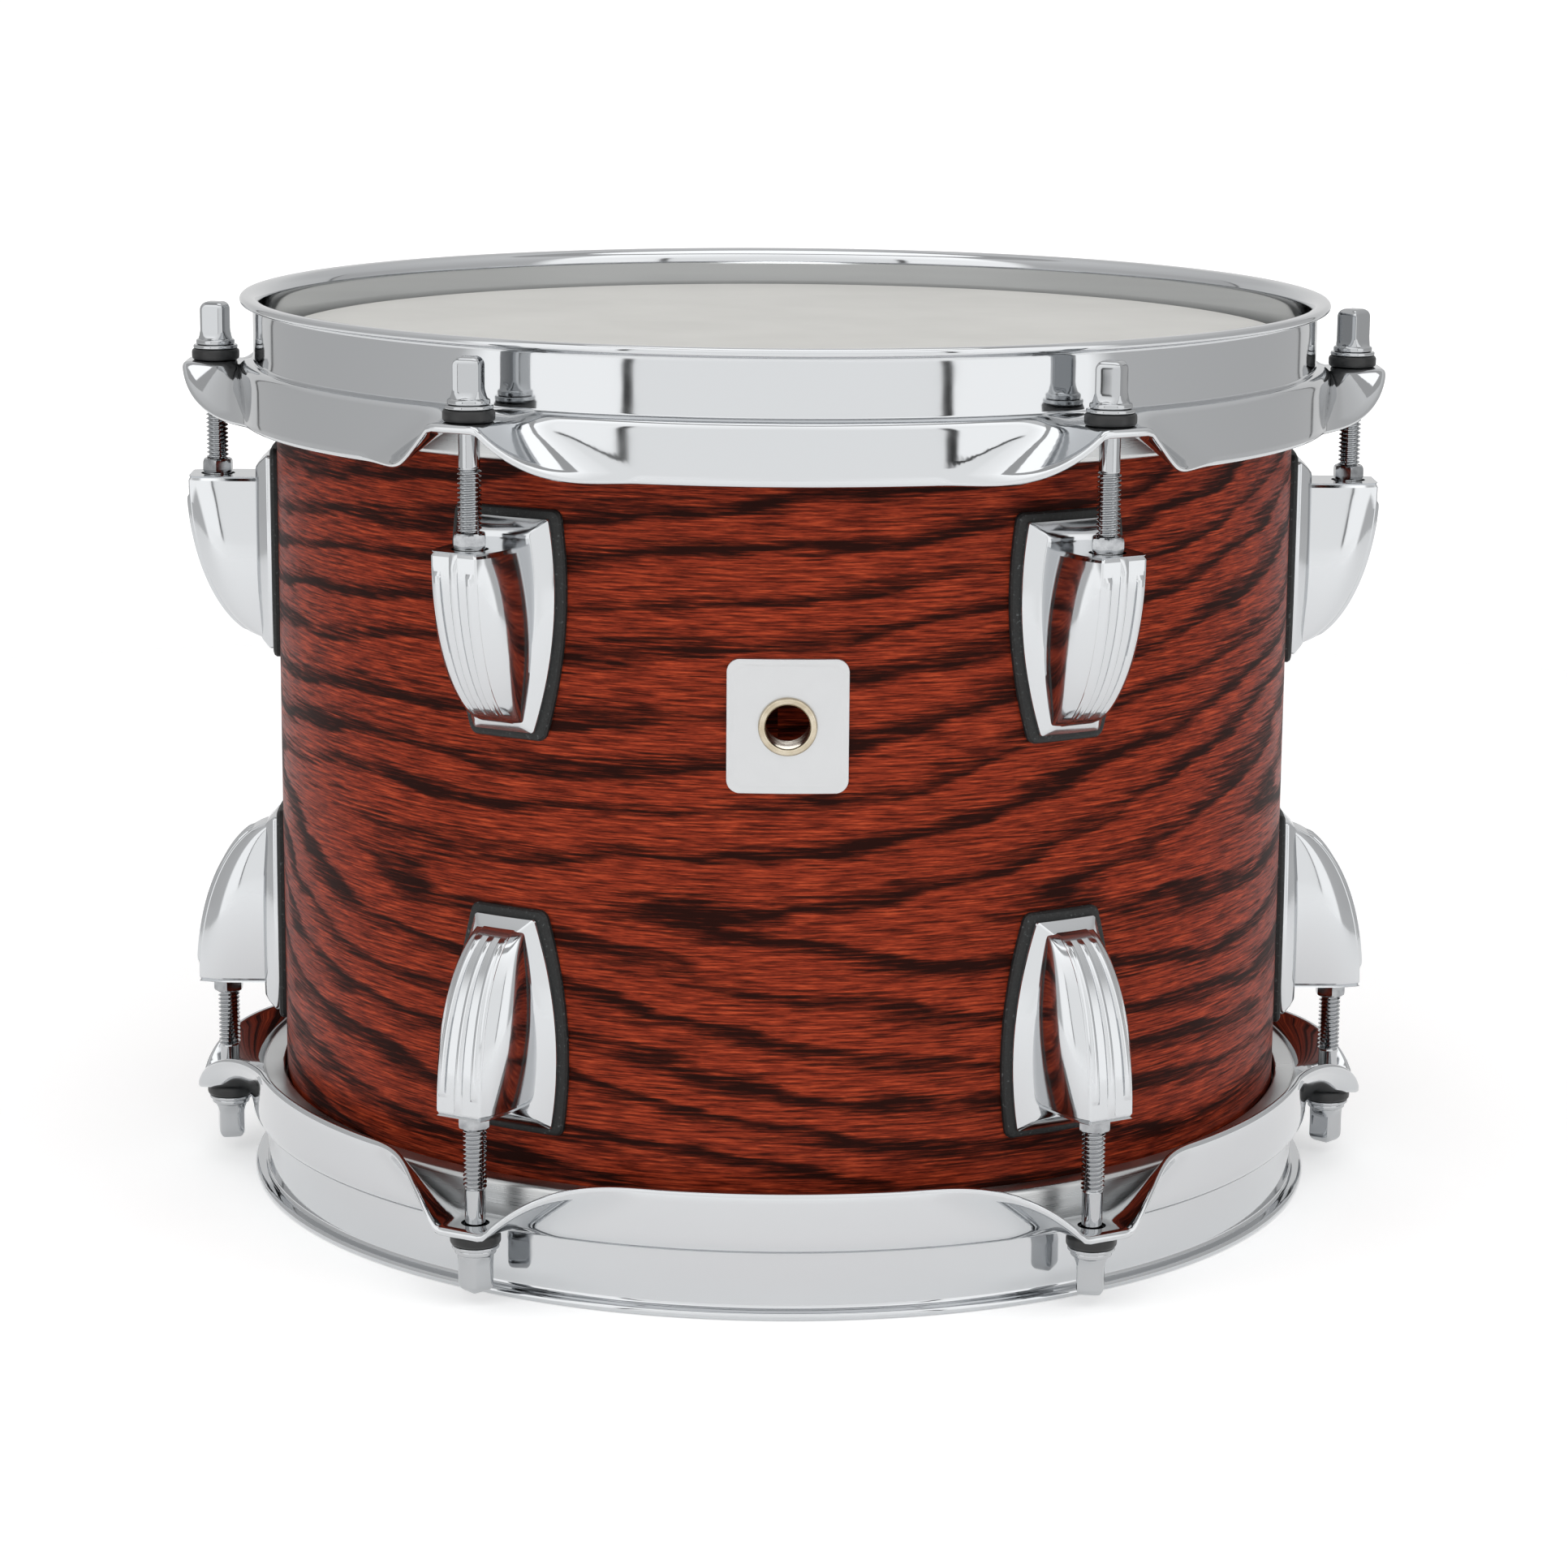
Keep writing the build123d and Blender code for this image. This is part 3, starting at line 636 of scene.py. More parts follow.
CROWN = 102.05
FILM = 0.3
FILM_OUTER = 127.15
FILM_FOOT = 88.7
SHOULDER_ROUND = 3.0
FLESH_OUTER = 132.65
FLESH_LOW, FLESH_HIGH = 84.0, 93.4


def set_about_axis(tree, given, grid, turn, radius, height):
    """A grid with each point set at its angle, radius and height about an upright axis."""
    sine = add(tree, "ShaderNodeMath", (turn,), operation="SINE")
    x = add(tree, "ShaderNodeMath", (sine, radius), operation="MULTIPLY")
    cosine = add(tree, "ShaderNodeMath", (turn,), operation="COSINE")
    y = add(tree, "ShaderNodeMath", (cosine, radius), operation="MULTIPLY")
    y = add(tree, "ShaderNodeMath", (y, given["Axis Distance"]), operation="ADD")
    y = add(tree, "ShaderNodeMath", (y, -1.0), operation="MULTIPLY")
    place = add(tree, "ShaderNodeCombineXYZ", {"X": x, "Y": y, "Z": height})
    return add(tree, "GeometryNodeSetPosition", {"Geometry": grid, "Position": place})


def turning_tree(name, *sizes):
    """Geometry nodes: a ring of points in the X-Z plane, turned about an upright axis as an outline."""
    tree, given = new_tree(name, ("Steps Round", "Int"), ("Axis Distance", "Float"), *sizes)
    points = add(tree, "GeometryNodeAttributeDomainSize", (given["Geometry"],)).outputs["Point Count"]
    columns = add(tree, "ShaderNodeMath", (given["Steps Round"], 1.0), operation="ADD")
    rows = add(tree, "ShaderNodeMath", (points, 1.0), operation="ADD")
    grid = add(tree, "GeometryNodeMeshGrid", {"Size X": 1.0, "Size Y": 1.0, "Vertices X": columns,
                                              "Vertices Y": rows})
    spot = add(tree, "ShaderNodeSeparateXYZ", (add(tree, "GeometryNodeInputPosition"),))
    turn = add(tree, "ShaderNodeMath", (spot.outputs["X"], 2 * pi, pi), operation="MULTIPLY_ADD")
    row = add(tree, "ShaderNodeMath", (spot.outputs["Y"], 0.5), operation="ADD")
    # a hundredth of a row more, so that rounding never falls short of the row
    row = add(tree, "ShaderNodeMath", (row, points, 0.01), operation="MULTIPLY_ADD")
    row = add(tree, "ShaderNodeMath", (row, points), operation="FLOORED_MODULO")
    row = add(tree, "ShaderNodeMath", (row,), operation="FLOOR")
    outline = add(tree, "GeometryNodeSampleIndex", {
        "Geometry": given["Geometry"], "Value": add(tree, "GeometryNodeInputPosition"), "Index": row},
        data_type="FLOAT_VECTOR")
    return tree, given, grid, turn, row, outline


def turning_end(tree, given, grid, turn, outline):
    """The last part of a turning tree: points go to their radius, height and angle, and the seam closes."""
    spot = add(tree, "ShaderNodeSeparateXYZ", (outline,))
    moved = set_about_axis(tree, given, grid, turn, spot.outputs["X"], spot.outputs["Z"])
    closed = add(tree, "GeometryNodeMergeByDistance", {"Geometry": moved, "Distance": 1e-7})
    return end_tree(tree, given, closed)


def plain_turning_tree():
    tree, given, grid, turn, row, outline = turning_tree("turned_about_the_axis")
    return turning_end(tree, given, grid, turn, outline)


def outline_mesh(name, line):
    """The points of an outline, in millimetres from the axis and from the middle of the shell."""
    made = bpy.data.meshes.new(name)
    made.from_pydata([(r * MM, 0, z * MM) for r, z in line], [], [])
    return made


def tidied(mesh, crease):
    """A turned mesh with its faces outward, smooth up to a crease."""
    shape = bmesh.new()
    shape.from_mesh(mesh)
    bmesh.ops.dissolve_degenerate(shape, edges=shape.edges, dist=1e-8)
    bmesh.ops.recalc_face_normals(shape, faces=shape.faces)
    shape.to_mesh(mesh)
    shape.free()
    mesh.shade_smooth()
    mesh.set_sharp_from_angle(angle=radians(crease))
    return mesh


TURNED = plain_turning_tree()


def turned(name, line, finish, steps=360, axis=0.0, crease=30):
    made = grown(name, outline_mesh(name, line), (TURNED, {"Steps Round": steps, "Axis Distance": axis * MM,
                                                           "Finish": finish}))
    return tidied(made, crease)


def arc(centre_r, centre_z, radius, start, end, steps=6):
    """Points on an arc, with angles in degrees from outward towards up."""
    angles = [radians(start + (end - start) * i / steps) for i in range(steps + 1)]
    return [(centre_r + radius * cos(a), centre_z + radius * sin(a)) for a in angles]


def ring_section(inner, outer, low, high, inner_round, outer_round, steps):
    """The section of a ring with rounded corners; the inner ones have half the steps."""
    return (arc(outer - outer_round, high - outer_round, outer_round, 0, 90, steps)
            + arc(inner + inner_round, high - inner_round, inner_round, 90, 180, steps // 2)
            + arc(inner + inner_round, low + inner_round, inner_round, 180, 270, steps // 2)
            + arc(outer - outer_round, low + outer_round, outer_round, 270, 360, steps))


def film_section():
    """Out along the top, down the collar to its foot, and back up the inside and underneath."""
    across = [30, 60, 90, 110]
    shoulder = (FILM_OUTER - SHOULDER_ROUND, CROWN - SHOULDER_ROUND)
    line = [(0, CROWN - FILM), (0, CROWN)] + [(r, CROWN) for r in across]
    line += arc(*shoulder, SHOULDER_ROUND, 90, 0, 10)
    line += [(FILM_OUTER, 92.0), (FILM_OUTER, FILM_FOOT), (FILM_OUTER - FILM, FILM_FOOT),
             (FILM_OUTER - FILM, 92.0)]
    line += arc(*shoulder, SHOULDER_ROUND - FILM, 0, 90, 10)
    return line + [(r, CROWN - FILM) for r in reversed(across)]


def coated_film():
    """A sprayed coating: warm grey white, dull, with a fine orange-peel grain and faint mottling."""
    made, tree = blank("polyester_film_coated_white")
    place = add(tree, "ShaderNodeTexCoord").outputs["Object"]
    mottle = add(tree, "ShaderNodeTexNoise", {"Vector": place, "Scale": waves(26), "Detail": 4.0})
    tint = add(tree, "ShaderNodeValToRGB", (mottle,), stops=[(0.3, "#C7C6C2"), (0.7, "#CECDC9")])
    spray = add(tree, "ShaderNodeTexNoise", {"Vector": place, "Scale": waves(0.9), "Detail": 2.0})
    dent = add(tree, "ShaderNodeBump", {"Height": spray, "Strength": 0.35, "Distance": 0.08 * MM})
    return surfaced(made, IOR=1.46, Roughness=0.62, Base_Color=tint, Normal=dent)


def brushed_aluminium():
    """Rolled aluminium: pale and soft, with fine lines drawn round the hoop."""
    made, tree = blank("aluminium_rolled_and_brushed")
    xyz = add(tree, "ShaderNodeSeparateXYZ", (add(tree, "ShaderNodeTexCoord").outputs["Object"],))
    angle = add(tree, "ShaderNodeMath", (xyz.outputs["X"], xyz.outputs["Y"]), operation="ARCTAN2")
    along = add(tree, "ShaderNodeMath", (angle, FLESH_OUTER * MM), operation="MULTIPLY")
    flat = add(tree, "ShaderNodeCombineXYZ", {"X": along, "Y": xyz.outputs["Z"]})
    # lines 30 mm long and 0.25 mm apart
    drawn = add(tree, "ShaderNodeMapping", {"Vector": flat, "Scale": waves(30, 0.25, 1)})
    lines = add(tree, "ShaderNodeTexNoise", {"Vector": drawn, "Scale": 1.0, "Detail": 2.0})
    rough = add(tree, "ShaderNodeValToRGB", (lines,), stops=[(0.3, 0.24), (0.7, 0.42)])
    dent = add(tree, "ShaderNodeBump", {"Height": lines, "Strength": 0.2, "Distance": 0.04 * MM})
    return surfaced(made, Metallic=1.0, Base_Color=colour("#C6C7C7"), Roughness=rough, Normal=dent)


flesh_section = ring_section(FILM_OUTER, FLESH_OUTER, FLESH_LOW, FLESH_HIGH, 0.6, 1.2, 6)
film_finish, flesh_finish = coated_film(), brushed_aluminium()
film_mesh = turned("film", film_section(), film_finish)
flesh_mesh = turned("flesh", flesh_section, flesh_finish)
for side in SIDES:
    piece(f"{side}_film", set_round(f"{side}_film", film_mesh, side, film_finish, 0, 1), f"{side}_head",
          "coated_film", film_finish, f"{side}_head_film")
    piece(f"{side}_flesh_ring", set_round(f"{side}_flesh_ring", flesh_mesh, side, flesh_finish, 0, 1),
          f"{side}_head", "flesh_aluminium", flesh_finish, f"{side}_flesh_hoop")


# Hoops -------------------------------------------------------------------------------------------------
# Each hoop is rolled and pressed from 2 mm steel strip and chrome plated. A lip turns outward at the top,
# a shoulder steps out over the flesh hoop, and the skirt below it is folded up flat into an ear at each rod.

SHEET = 2.0
WALL = 130.8
LIP_TIP = 135.0
LIP_Z = 111.25
SHOULDER_Z = 95.5
SKIRT = 134.45
SKIRT_FOOT = 80.7
EAR_FLAT = 5.6
EAR_SPREAD = 38.0
SHOULDER_SPREAD = 14.0
EAR_HOLE = 3.3
HINGE = (136.15, 94.3)
# how soon the sheet starts to swing below the hinge, and how far down it takes to swing fully
SWING_START, SWING_EASE = 0.4, 4.0


def sheet_outline(line, bends, thick):
    """Both sides of a bent sheet, from its centre line and the bend radius at each inner corner. It also
    gives, for each point, how far along the centre line it lies."""
    centre = [(Vector(line[0]), (Vector(line[1]) - Vector(line[0])).normalized())]
    for before, corner, after, bend in zip(line, line[1:], line[2:], bends):
        p = Vector(corner)
        a = (p - Vector(before)).normalized()
        b = (Vector(after) - p).normalized()
        turn = acos(max(-1, min(1, a.dot(b))))
        reach = bend * sin(turn / 2) / cos(turn / 2)
        side = 1 if a.x * b.y - a.y * b.x > 0 else -1
        middle = p - a * reach + Vector((-a.y, a.x)) * side * bend
        for i in range(7):
            swing = side * turn * i / 6
            ray = -Vector((-a.y, a.x)) * side * bend
            ray = Vector((ray.x * cos(swing) - ray.y * sin(swing), ray.x * sin(swing) + ray.y * cos(swing)))
            way = Vector((a.x * cos(swing) - a.y * sin(swing), a.x * sin(swing) + a.y * cos(swing)))
            centre.append((middle + ray, way))
    centre.append((Vector(line[-1]), (Vector(line[-1]) - Vector(line[-2])).normalized()))
    # long straight stretches get more points, so that the ears can bend them
    fine = []
    run = 0.0
    for (p, way), (q, _) in zip(centre, centre[1:]):
        gap = (q - p).length
        pieces = max(1, round(gap / 1.6))  # about 1.6 mm each
        fine += [(p + (q - p) * i / pieces, way if i == 0 else (q - p).normalized(), run + gap * i / pieces)
                 for i in range(pieces)]
        run += gap
    fine.append((*centre[-1], run))
    left, right = [], []
    for p, way, at in fine:
        across = Vector((-way.y, way.x)) * thick / 2
        left.append((p + across, at))
        right.append((p - across, at))
    ends = []
    for (p, way, at), sign in ((fine[-1], 1), (fine[0], -1)):
        for i in range(1, 6):
            a = pi / 2 - pi * i / 6
            bulge = way * sign * cos(a) + Vector((-way.y, way.x)) * sign * sin(a)
            ends.append((p + bulge * thick / 2, at))
    ring_points = left + ends[:5] + right[::-1] + ends[5:]
    return [tuple(p) for p, at in ring_points], [at for p, at in ring_points]


def hoop_tree():
    """Geometry nodes: a section turned about the axis, whose skirt swings out about a hinge to lie flat at
    each ear. The point attribute called swing says how much of the swing a point takes, and the one called
    drop how far down the skirt it is: the foot starts to swing further from the ear than the shoulder."""
    sizes = ("Ear Flat", "Ear Spread", "Shoulder Spread", "Hinge Radius", "Hinge Height")
    tree, given, grid, turn, row, outline = turning_tree(
        "hoop_with_ears", ("Ears", "Int"), *[(size, "Float") for size in sizes])
    swing_share, drop = [add(tree, "GeometryNodeSampleIndex", {
        "Geometry": given["Geometry"], "Value": add(tree, "GeometryNodeInputNamedAttribute", {"Name": name}),
        "Index": row}) for name in ("swing", "drop")]
    # the distance round the hoop to the nearest ear
    reach = turn
    for operation, *others in (("MULTIPLY", given["Ears"]), ("DIVIDE", 2 * pi), ("FRACT",),
                               ("SUBTRACT", 0.5), ("ABSOLUTE",)):
        reach = add(tree, "ShaderNodeMath", (reach, *others), operation=operation)
    pitch = add(tree, "ShaderNodeMath", (given["Hinge Radius"], 2 * pi), operation="MULTIPLY")
    pitch = add(tree, "ShaderNodeMath", (pitch, given["Ears"]), operation="DIVIDE")
    reach = add(tree, "ShaderNodeMath", (reach, pitch), operation="MULTIPLY")
    spread = add(tree, "ShaderNodeMapRange", {"Value": drop, "To Min": given["Shoulder Spread"],
                                              "To Max": given["Ear Spread"]})
    swing = add(tree, "ShaderNodeMapRange", {"Value": reach, "From Min": given["Ear Flat"],
                                             "From Max": spread, "To Min": 1.0, "To Max": 0.0})
    for operation, other in (("POWER", 1.8), ("MULTIPLY", pi / 2), ("MULTIPLY", swing_share),
                             ("MULTIPLY", -1.0)):
        swing = add(tree, "ShaderNodeMath", (swing, other), operation=operation)
    hinge = add(tree, "ShaderNodeCombineXYZ", {"X": given["Hinge Radius"], "Z": given["Hinge Height"]})
    swung = add(tree, "ShaderNodeVectorRotate", {"Vector": outline, "Center": hinge, "Angle": swing},
                rotation_type="Y_AXIS")
    return turning_end(tree, given, grid, turn, swung)


def hoop_mesh(finish):
    """The turned strip with its ears, and a hole for a rod in each."""
    half = SHEET / 2
    line = [(LIP_TIP - half, LIP_Z - half), (WALL, LIP_Z - half), (WALL, SHOULDER_Z - half),
            (SKIRT, SHOULDER_Z - half), (SKIRT, SKIRT_FOOT + half)]
    points, runs = sheet_outline(line, (2.0, 1.6, 1.6), SHEET)
    mesh = outline_mesh("hoop", points)
    swing = mesh.attributes.new("swing", "FLOAT", "POINT")
    drop = mesh.attributes.new("drop", "FLOAT", "POINT")
    start = max(runs) - (SHOULDER_Z - SKIRT_FOOT) - SWING_START
    for share, depth, run in zip(swing.data, drop.data, runs):
        t = min(1.0, max(0.0, (run - start) / SWING_EASE))
        share.value = t * t * (3 - 2 * t)
        depth.value = max(0.0, (run - start) / (max(runs) - start))
    mesh = tidied(grown("hoop", mesh, (hoop_tree(), {
        "Steps Round": 720, "Axis Distance": 0.0, "Finish": finish, "Ears": LUGS, "Ear Flat": EAR_FLAT * MM,
        "Ear Spread": EAR_SPREAD * MM, "Shoulder Spread": SHOULDER_SPREAD * MM,
        "Hinge Radius": HINGE[0] * MM, "Hinge Height": HINGE[1] * MM})), 40)
    drills = []
    for n in range(LUGS):
        a = radians(FIRST_LUG + 360 / LUGS * n)
        x, y = ROD_R * sin(a), -ROD_R * cos(a)
        drills.append(round_bar(EAR_HOLE, (x, y, 85), (x, y, 99), 40))
    mesh = combined("hoop", mesh, drills, "DIFFERENCE")
    mesh.shade_smooth()
    mesh.set_sharp_from_angle(angle=radians(40))
    return mesh


hoop_chrome = chrome("steel_strip_pressed_and_chromed", "#C8CACC", 0.045, 0.06)
hoop = hoop_mesh(hoop_chrome)
for side in SIDES:
    piece(f"{side}_hoop_pressing", set_round(f"{side}_hoop_pressing", hoop, side, hoop_chrome, 0, 1),
          f"{side}_hoop", "hoop_chrome", hoop_chrome, f"{side}_hoop")


# Tension rods ------------------------------------------------------------------------------------------
# Steel rods with a rolled thread, a round collar and a square drive for the drum key, chrome plated. Each
# stands on a steel washer and a thick black nylon one that takes up rattle.

THREAD_R = 2.745
THREAD_ROOT = 2.08
PITCH = 25.4 / 24
ROWS_PER_PITCH = 8
ROD_END = 51.05
ROD_TIP = 0.4
THREAD_TOP = 83.65
NECK_R = 2.4
COLLAR_Z = 97.45
COLLAR_R = 4.8
COLLAR_HEIGHT = 1.4
DRIVE_HEIGHT = 9.2
DRIVE_FLAT = 6.35 / 2
DRIVE_CORNER = 4.1
DRIVE_DOME = 2.0
FLARE_R = 4.22
FLARE_HEIGHT = 2.3
ROD_STEPS = 40
# how far each rod happened to be turned when it was tightened, in degrees, seen from the front
KEY_TURNS = (-22, 45, 10, 35, -12, -10)


def thread_tree():
    """Geometry nodes: a right-hand thread on a tube, eight rows to the pitch, with a pointed end below and
    a run-out above."""
    sizes = ("Pitch", "Crest Radius", "Root Radius", "Neck Radius", "Bottom", "Top", "Axis Distance")
    tree, given = new_tree("rolled_thread", ("Steps Round", "Int"), ("Rows", "Int"),
                           *[(size, "Float") for size in sizes])
    columns = add(tree, "ShaderNodeMath", (given["Steps Round"], 1.0), operation="ADD")
    grid = add(tree, "GeometryNodeMeshGrid", {"Size X": 1.0, "Size Y": 1.0, "Vertices X": columns,
                                              "Vertices Y": given["Rows"]})
    spot = add(tree, "ShaderNodeSeparateXYZ", (add(tree, "GeometryNodeInputPosition"),))
    round_share = add(tree, "ShaderNodeMath", (spot.outputs["X"], 0.5), operation="ADD")
    turn = add(tree, "ShaderNodeMath", (round_share, 2 * pi), operation="MULTIPLY")
    last = add(tree, "ShaderNodeMath", (given["Rows"], 1.0), operation="SUBTRACT")
    # how many pitches up the tube a row is, and its height once it has climbed with the turn
    phase = spot.outputs["Y"]
    for operation, other in (("ADD", 0.5), ("MULTIPLY", last), ("DIVIDE", float(ROWS_PER_PITCH))):
        phase = add(tree, "ShaderNodeMath", (phase, other), operation=operation)
    height = phase
    for operation, *others in (("ADD", round_share), ("SUBTRACT", 1.0),
                               ("MULTIPLY_ADD", given["Pitch"], given["Bottom"]),
                               ("MAXIMUM", given["Bottom"]), ("MINIMUM", given["Top"])):
        height = add(tree, "ShaderNodeMath", (height, *others), operation=operation)
    # the thread's flanks, with a crest and a root each half a row wide
    half_row = 0.5 / ROWS_PER_PITCH
    ridge = phase
    for operation, *others in (("ADD", half_row), ("FRACT",), ("SUBTRACT", 0.5), ("ABSOLUTE",)):
        ridge = add(tree, "ShaderNodeMath", (ridge, *others), operation=operation)
    radius = add(tree, "ShaderNodeMapRange", {
        "Value": ridge, "From Min": half_row, "From Max": 0.5 - half_row,
        "To Min": given["Crest Radius"], "To Max": given["Root Radius"]})
    point = height
    for operation, other in (("SUBTRACT", given["Bottom"]), ("ADD", given["Root Radius"]),
                             ("SUBTRACT", ROD_TIP * MM)):
        point = add(tree, "ShaderNodeMath", (point, other), operation=operation)
    radius = add(tree, "ShaderNodeMath", (radius, point), operation="MINIMUM")
    run_out = add(tree, "ShaderNodeMath", (given["Top"], given["Pitch"]), operation="SUBTRACT")
    ease = add(tree, "ShaderNodeMapRange", {"Value": height, "From Min": run_out, "From Max": given["Top"]},
               interpolation_type="SMOOTHSTEP")
    radius = add(tree, "ShaderNodeMix", {"Factor": ease, "A": radius, "B": given["Neck Radius"]})
    moved = set_about_axis(tree, given, grid, turn, radius, height)
    both = add(tree, "GeometryNodeJoinGeometry", (moved,))
    tree.links.new(given["Geometry"], both.inputs[0])
    closed = add(tree, "GeometryNodeMergeByDistance", {"Geometry": both, "Distance": 2e-6})
    return end_tree(tree, given, closed)


def rod_head():
    """Neck, collar and drive. The flats scoop out into the flare above the collar, which leaves an arch
    at the foot of each."""
    rows = [(THREAD_TOP, NECK_R, 0), (90.0, NECK_R, 0), (96.8, NECK_R, 0), (COLLAR_Z, NECK_R + 0.3, 0)]
    # the collar's rounded edges, as heights above its underside and how far they draw it in
    rows += [(COLLAR_Z + rise, COLLAR_R - inset, 0) for rise, inset in (
        (0, 0.3), (0.12, 0.08), (0.35, 0), (0.9, 0), (1.1, 0.08), (1.25, 0.3))]
    base = COLLAR_Z + COLLAR_HEIGHT
    top = base + DRIVE_HEIGHT
    rows.append((base, FLARE_R, 4.45))
    for i in range(1, 11):
        t = i / 10
        scoop = (1 - sqrt(1 - (1 - t) ** 2)) ** 0.8
        rows.append((base + FLARE_HEIGHT * t, FLARE_R + (DRIVE_CORNER - FLARE_R) * t,
                     DRIVE_FLAT + 1.28 * scoop))
    rows += [(z, DRIVE_CORNER, DRIVE_FLAT) for z in (base + 4.5, base + 6.0, top - DRIVE_DOME)]
    for i in range(1, 9):
        a = pi / 2 * i / 8
        inset = DRIVE_DOME * (1 - cos(a))
        rows.append((top - DRIVE_DOME + DRIVE_DOME * sin(a), DRIVE_CORNER - inset, DRIVE_FLAT - 0.9 * inset))
    head = shaped("rod_head", rows, 4, ROD_STEPS, 40)
    # the neck is left open below, where the thread joins it
    shape = bmesh.new()
    shape.from_mesh(head)
    low = min(v.co.z for v in shape.verts)
    caps = [f for f in shape.faces if all(abs(v.co.z - low) < 1e-7 for v in f.verts)]
    bmesh.ops.delete(shape, geom=caps, context="FACES_ONLY")
    shape.to_mesh(head)
    shape.free()
    return head


def rod_point():
    """The flat end of the rod, which closes the thread."""
    made = bpy.data.meshes.new("rod_point")
    radius = THREAD_ROOT - ROD_TIP
    rim = []
    for i in range(ROD_STEPS):
        a = 2 * pi * i / ROD_STEPS
        rim.append((radius * sin(a) * MM, -(ROD_R + radius * cos(a)) * MM, ROD_END * MM))
    made.from_pydata(rim, [], [tuple(range(ROD_STEPS))])
    return made


def rod_mesh(finish):
    """The whole rod: its head and its point, joined by the thread."""
    shape = bmesh.new()
    shape.from_mesh(rod_head())
    shape.from_mesh(rod_point())
    ends = bpy.data.meshes.new("rod_ends")
    shape.to_mesh(ends)
    shape.free()
    rows = ROWS_PER_PITCH * round((THREAD_TOP - ROD_END) / PITCH + 2) + 1
    made = grown("rod", ends, (thread_tree(), {
        "Steps Round": ROD_STEPS, "Rows": rows, "Pitch": PITCH * MM, "Crest Radius": THREAD_R * MM,
        "Root Radius": THREAD_ROOT * MM, "Neck Radius": NECK_R * MM, "Bottom": ROD_END * MM,
        "Top": THREAD_TOP * MM, "Axis Distance": ROD_R * MM, "Finish": finish}))
    return tidied(made, 36)


def nylon():
    """Black nylon, moulded: smooth, with a soft sheen that scuffs duller."""
    made, tree = blank("black_nylon_moulded")
    place = add(tree, "ShaderNodeTexCoord").outputs["Object"]
    cloud = add(tree, "ShaderNodeTexNoise", {"Vector": place, "Scale": waves(1.5), "Detail": 3.0})
    rough = add(tree, "ShaderNodeValToRGB", (cloud,), stops=[(0.3, 0.3), (0.7, 0.48)])
    return surfaced(made, IOR=1.53, Base_Color=colour("#101112"), Roughness=rough)


WASHER_HOLE = 2.995
SOFT_R, STEEL_R = 5.9, 5.5
SOFT_LOW, SOFT_HIGH, STEEL_HIGH = 93.6, 96.5, 97.4
rod_chrome = chrome("steel_rod_rolled_and_chromed", "#B4B6B8", 0.05, 0.03)
nylon_finish = nylon()
soft_section = ring_section(WASHER_HOLE, SOFT_R, SOFT_LOW, SOFT_HIGH, 0.2, 0.9, 4)
steel_section = ring_section(WASHER_HOLE, STEEL_R, SOFT_HIGH, STEEL_HIGH, 0.2, 0.3, 4)
soft = turned("soft_washer", soft_section, nylon_finish, 40, ROD_R)
steel = turned("steel_washer", steel_section, rod_chrome, 40, ROD_R)
rod = rod_mesh(rod_chrome)
for side in SIDES:
    piece(f"{side}_soft_washer_set", set_round(f"{side}_soft_washer_set", soft, side, nylon_finish),
          f"{side}_hoop", "washer_nylon", nylon_finish, f"{side}_rod_soft_washers")
    piece(f"{side}_steel_washer_set", set_round(f"{side}_steel_washer_set", steel, side, rod_chrome),
          f"{side}_hoop", "rod_chrome", rod_chrome, f"{side}_rod_steel_washers")
    for n in range(LUGS):
        name = f"{side}_threaded_rod_{n + 1}"
        own_axis = Matrix.Translation((0, -ROD_R * MM, 0))
        twist = Matrix.Rotation(radians(KEY_TURNS[n] - FIRST_LUG - 360 / LUGS * n), 4, "Z")
        tightened = rod.copy()
        tightened.transform(own_axis @ twist @ own_axis.inverted())
        placed = set_round(name, tightened, side, rod_chrome, FIRST_LUG + 360 / LUGS * n, 1)
        piece(name, placed, f"{side}_rod_{n + 1}", "rod_chrome", rod_chrome, f"{side}_tension_rod_{n + 1}")


# Studio ------------------------------------------------------------------------------------------------
# The camera stands about a metre in front, a little above the drum, and looks 12 degrees down. The drum
# stands on a white sweep inside a tall ring of soft boxes and grey cards, which the chrome mirrors.

camera_data = bpy.data.cameras.new("camera")
camera_data.sensor_width = 36.0
camera_data.lens = 96.3
camera = bpy.data.objects.new("camera", camera_data)
bpy.context.scene.collection.objects.link(camera)
ASIDE, AWAY, RAISED = 0.6, 1047.8, 207.9
ROUND, DOWN, ROLL = -0.61, 11.96, 0.43
stand = Matrix.Translation((ASIDE * MM, -AWAY * MM, (MIDDLE_Z + RAISED) * MM))
look = Matrix.Rotation(radians(90 - DOWN), 4, "X") @ Matrix.Rotation(radians(ROLL), 4, "Z")
camera.matrix_world = Matrix.Rotation(radians(ROUND), 4, "Z") @ stand @ look
bpy.context.scene.camera = camera


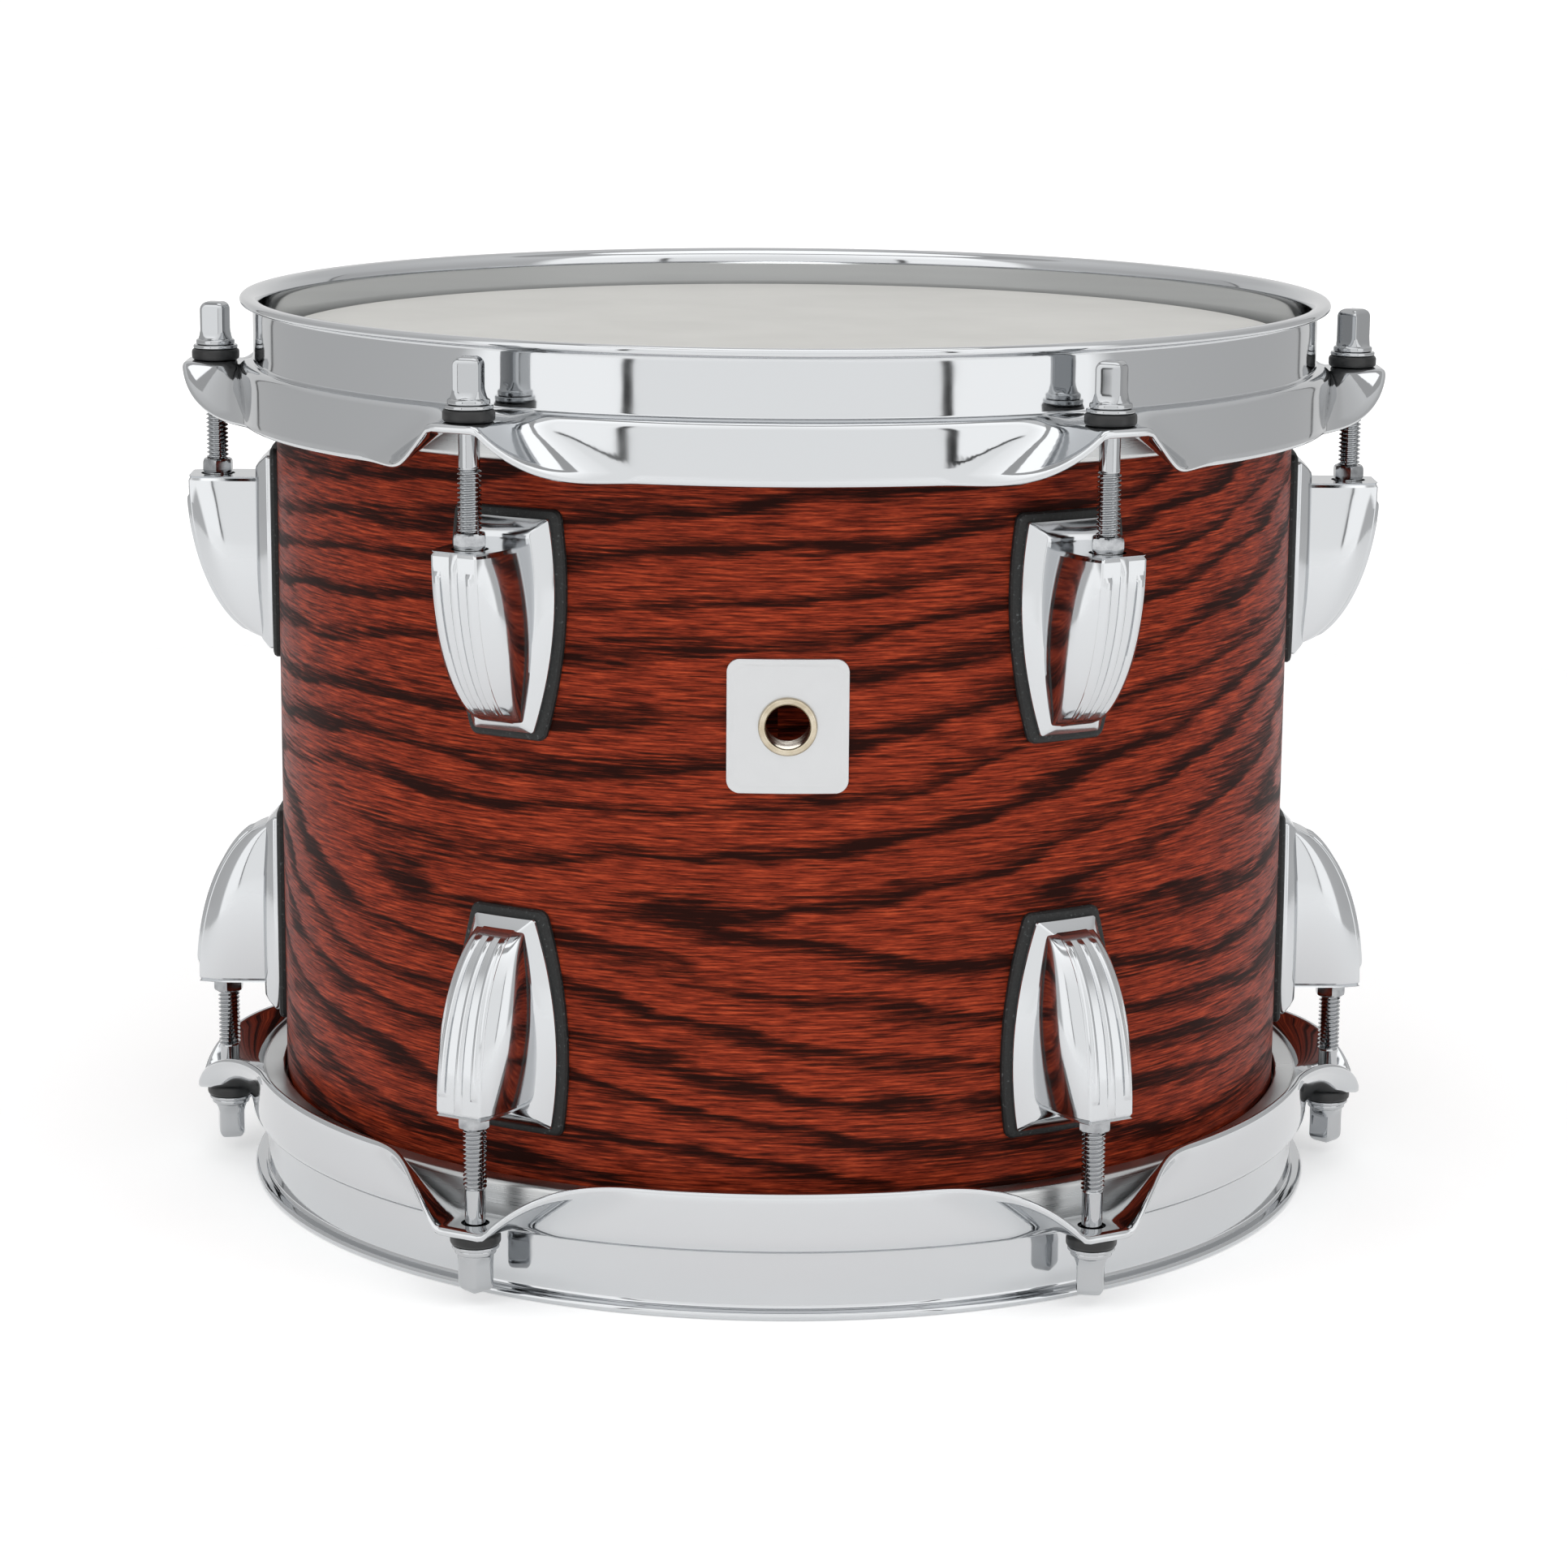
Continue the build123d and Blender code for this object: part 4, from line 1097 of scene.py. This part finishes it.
def soft_boxes_and_cards():
    """What the chrome mirrors: pale cards in front, a black gap, white soft boxes, then grey cards."""
    made, tree = blank("soft_boxes_and_cards")
    xyz, angle = place_round(tree)
    away = add(tree, "ShaderNodeMath", (angle,), operation="ABSOLUTE")
    share = add(tree, "ShaderNodeMath", (away, pi), operation="DIVIDE")
    # how bright it is at each angle from the front, in degrees
    around = ((0, 0.84), (29, 0.84), (29.6, 0.03), (31, 0.03), (31.6, 1.0), (60, 1.0), (66, 0.46),
              (133, 0.40), (133.4, 0.05), (134.2, 0.05), (134.6, 0.50), (180, 0.55))
    bright = add(tree, "ShaderNodeValToRGB", (share,), stops=[(turn / 180, glow) for turn, glow in around])
    # the black gaps beside the front card are only as tall as the card
    plain = add(tree, "ShaderNodeValToRGB", (share,), stops=[
        (0.0, 0.84), (60 / 180, 1.0), (66 / 180, 0.46), (1.0, 0.46)])
    outside = add(tree, "ShaderNodeValToRGB", (xyz.outputs["Z"],),
                  stops=[(0.06, 1.0), (0.08, 0.0), (0.45, 0.0), (0.6, 1.0)])
    bright = add(tree, "ShaderNodeMix", {"Factor": outside, 6: bright, 7: plain}, data_type="RGBA")
    rise = add(tree, "ShaderNodeMapRange", {"Value": xyz.outputs["Z"], "From Min": 0.5, "From Max": 1.3,
                                            "To Min": 1.0, "To Max": 1.25})
    strength = add(tree, "ShaderNodeMath", (rise, 1.42), operation="MULTIPLY")
    return surfaced(made, "ShaderNodeEmission", Color=bright.outputs[2], Strength=strength)


def overhead_soft_box():
    """A round soft box a metre across, in a grey surround."""
    made, tree = blank("overhead_soft_box")
    level = add(tree, "ShaderNodeVectorMath", (add(tree, "ShaderNodeTexCoord").outputs["Object"],
                                               (1.0, 1.0, 0.0)), operation="MULTIPLY")
    centre = add(tree, "ShaderNodeVectorMath", (level,), operation="LENGTH")
    panel = add(tree, "ShaderNodeValToRGB", (centre.outputs["Value"],),
                stops=[(0.0, 1.0), (0.5, 1.0), (0.52, 0.3), (0.78, 0.3)])
    return surfaced(made, "ShaderNodeEmission", Color=panel, Strength=1.7)


def stage_piece(name, points, faces, finish):
    mesh = bpy.data.meshes.new(name)
    mesh.from_pydata(points, [], faces)
    mesh.materials.append(finish)
    made = bpy.data.objects.new(name, mesh)
    bpy.context.scene.collection.objects.link(made)
    return made


RING_R, RING_TOP, RING_STEPS = 0.78, 1.5, 96
ring_points = [(RING_R * sin(2 * pi * i / RING_STEPS), -RING_R * cos(2 * pi * i / RING_STEPS), z)
               for z in (0.0, RING_TOP) for i in range(RING_STEPS)]
ring_faces = [(i, (i + 1) % RING_STEPS, RING_STEPS + (i + 1) % RING_STEPS, RING_STEPS + i)
              for i in range(RING_STEPS)]
light_ring = stage_piece("light_ring", ring_points, ring_faces, soft_boxes_and_cards())
ceiling = stage_piece("overhead_light", ring_points[RING_STEPS:], [tuple(range(RING_STEPS))],
                      overhead_soft_box())
for lamp in (light_ring, ceiling):
    lamp.visible_camera = False
    lamp.visible_shadow = False

paper = surfaced(blank("white_paper_sweep")[0], Base_Color=colour("#F4F4F4"), Roughness=0.9,
                 Specular_IOR_Level=0.1, Emission_Color=colour("#FFFFFF"), Emission_Strength=0.29)
FLOOR = 6.0
floor_corners = [(-FLOOR, -FLOOR, 0), (FLOOR, -FLOOR, 0), (FLOOR, FLOOR, 0), (-FLOOR, FLOOR, 0)]
stage_piece("floor", floor_corners, [(0, 1, 2, 3)], paper)

# a faint glow inside the drum stands for the light that comes through the heads
inner_glow = bpy.data.lights.new("light_through_the_heads", "POINT")
inner_glow.energy = 0.12
inner_glow.shadow_soft_size = 0.04
glow_object = bpy.data.objects.new("light_through_the_heads", inner_glow)
bpy.context.scene.collection.objects.link(glow_object)
glow_object.location = (0, 0, 0.18)
glow_object.visible_camera = False

world = bpy.data.worlds.new("studio")
bpy.context.scene.world = world
world.use_nodes = True
world.node_tree.nodes["Background"].inputs["Color"].default_value = colour("#FFFFFF")
world.node_tree.nodes["Background"].inputs["Strength"].default_value = 1.1
bpy.context.scene.view_settings.view_transform = "Standard"
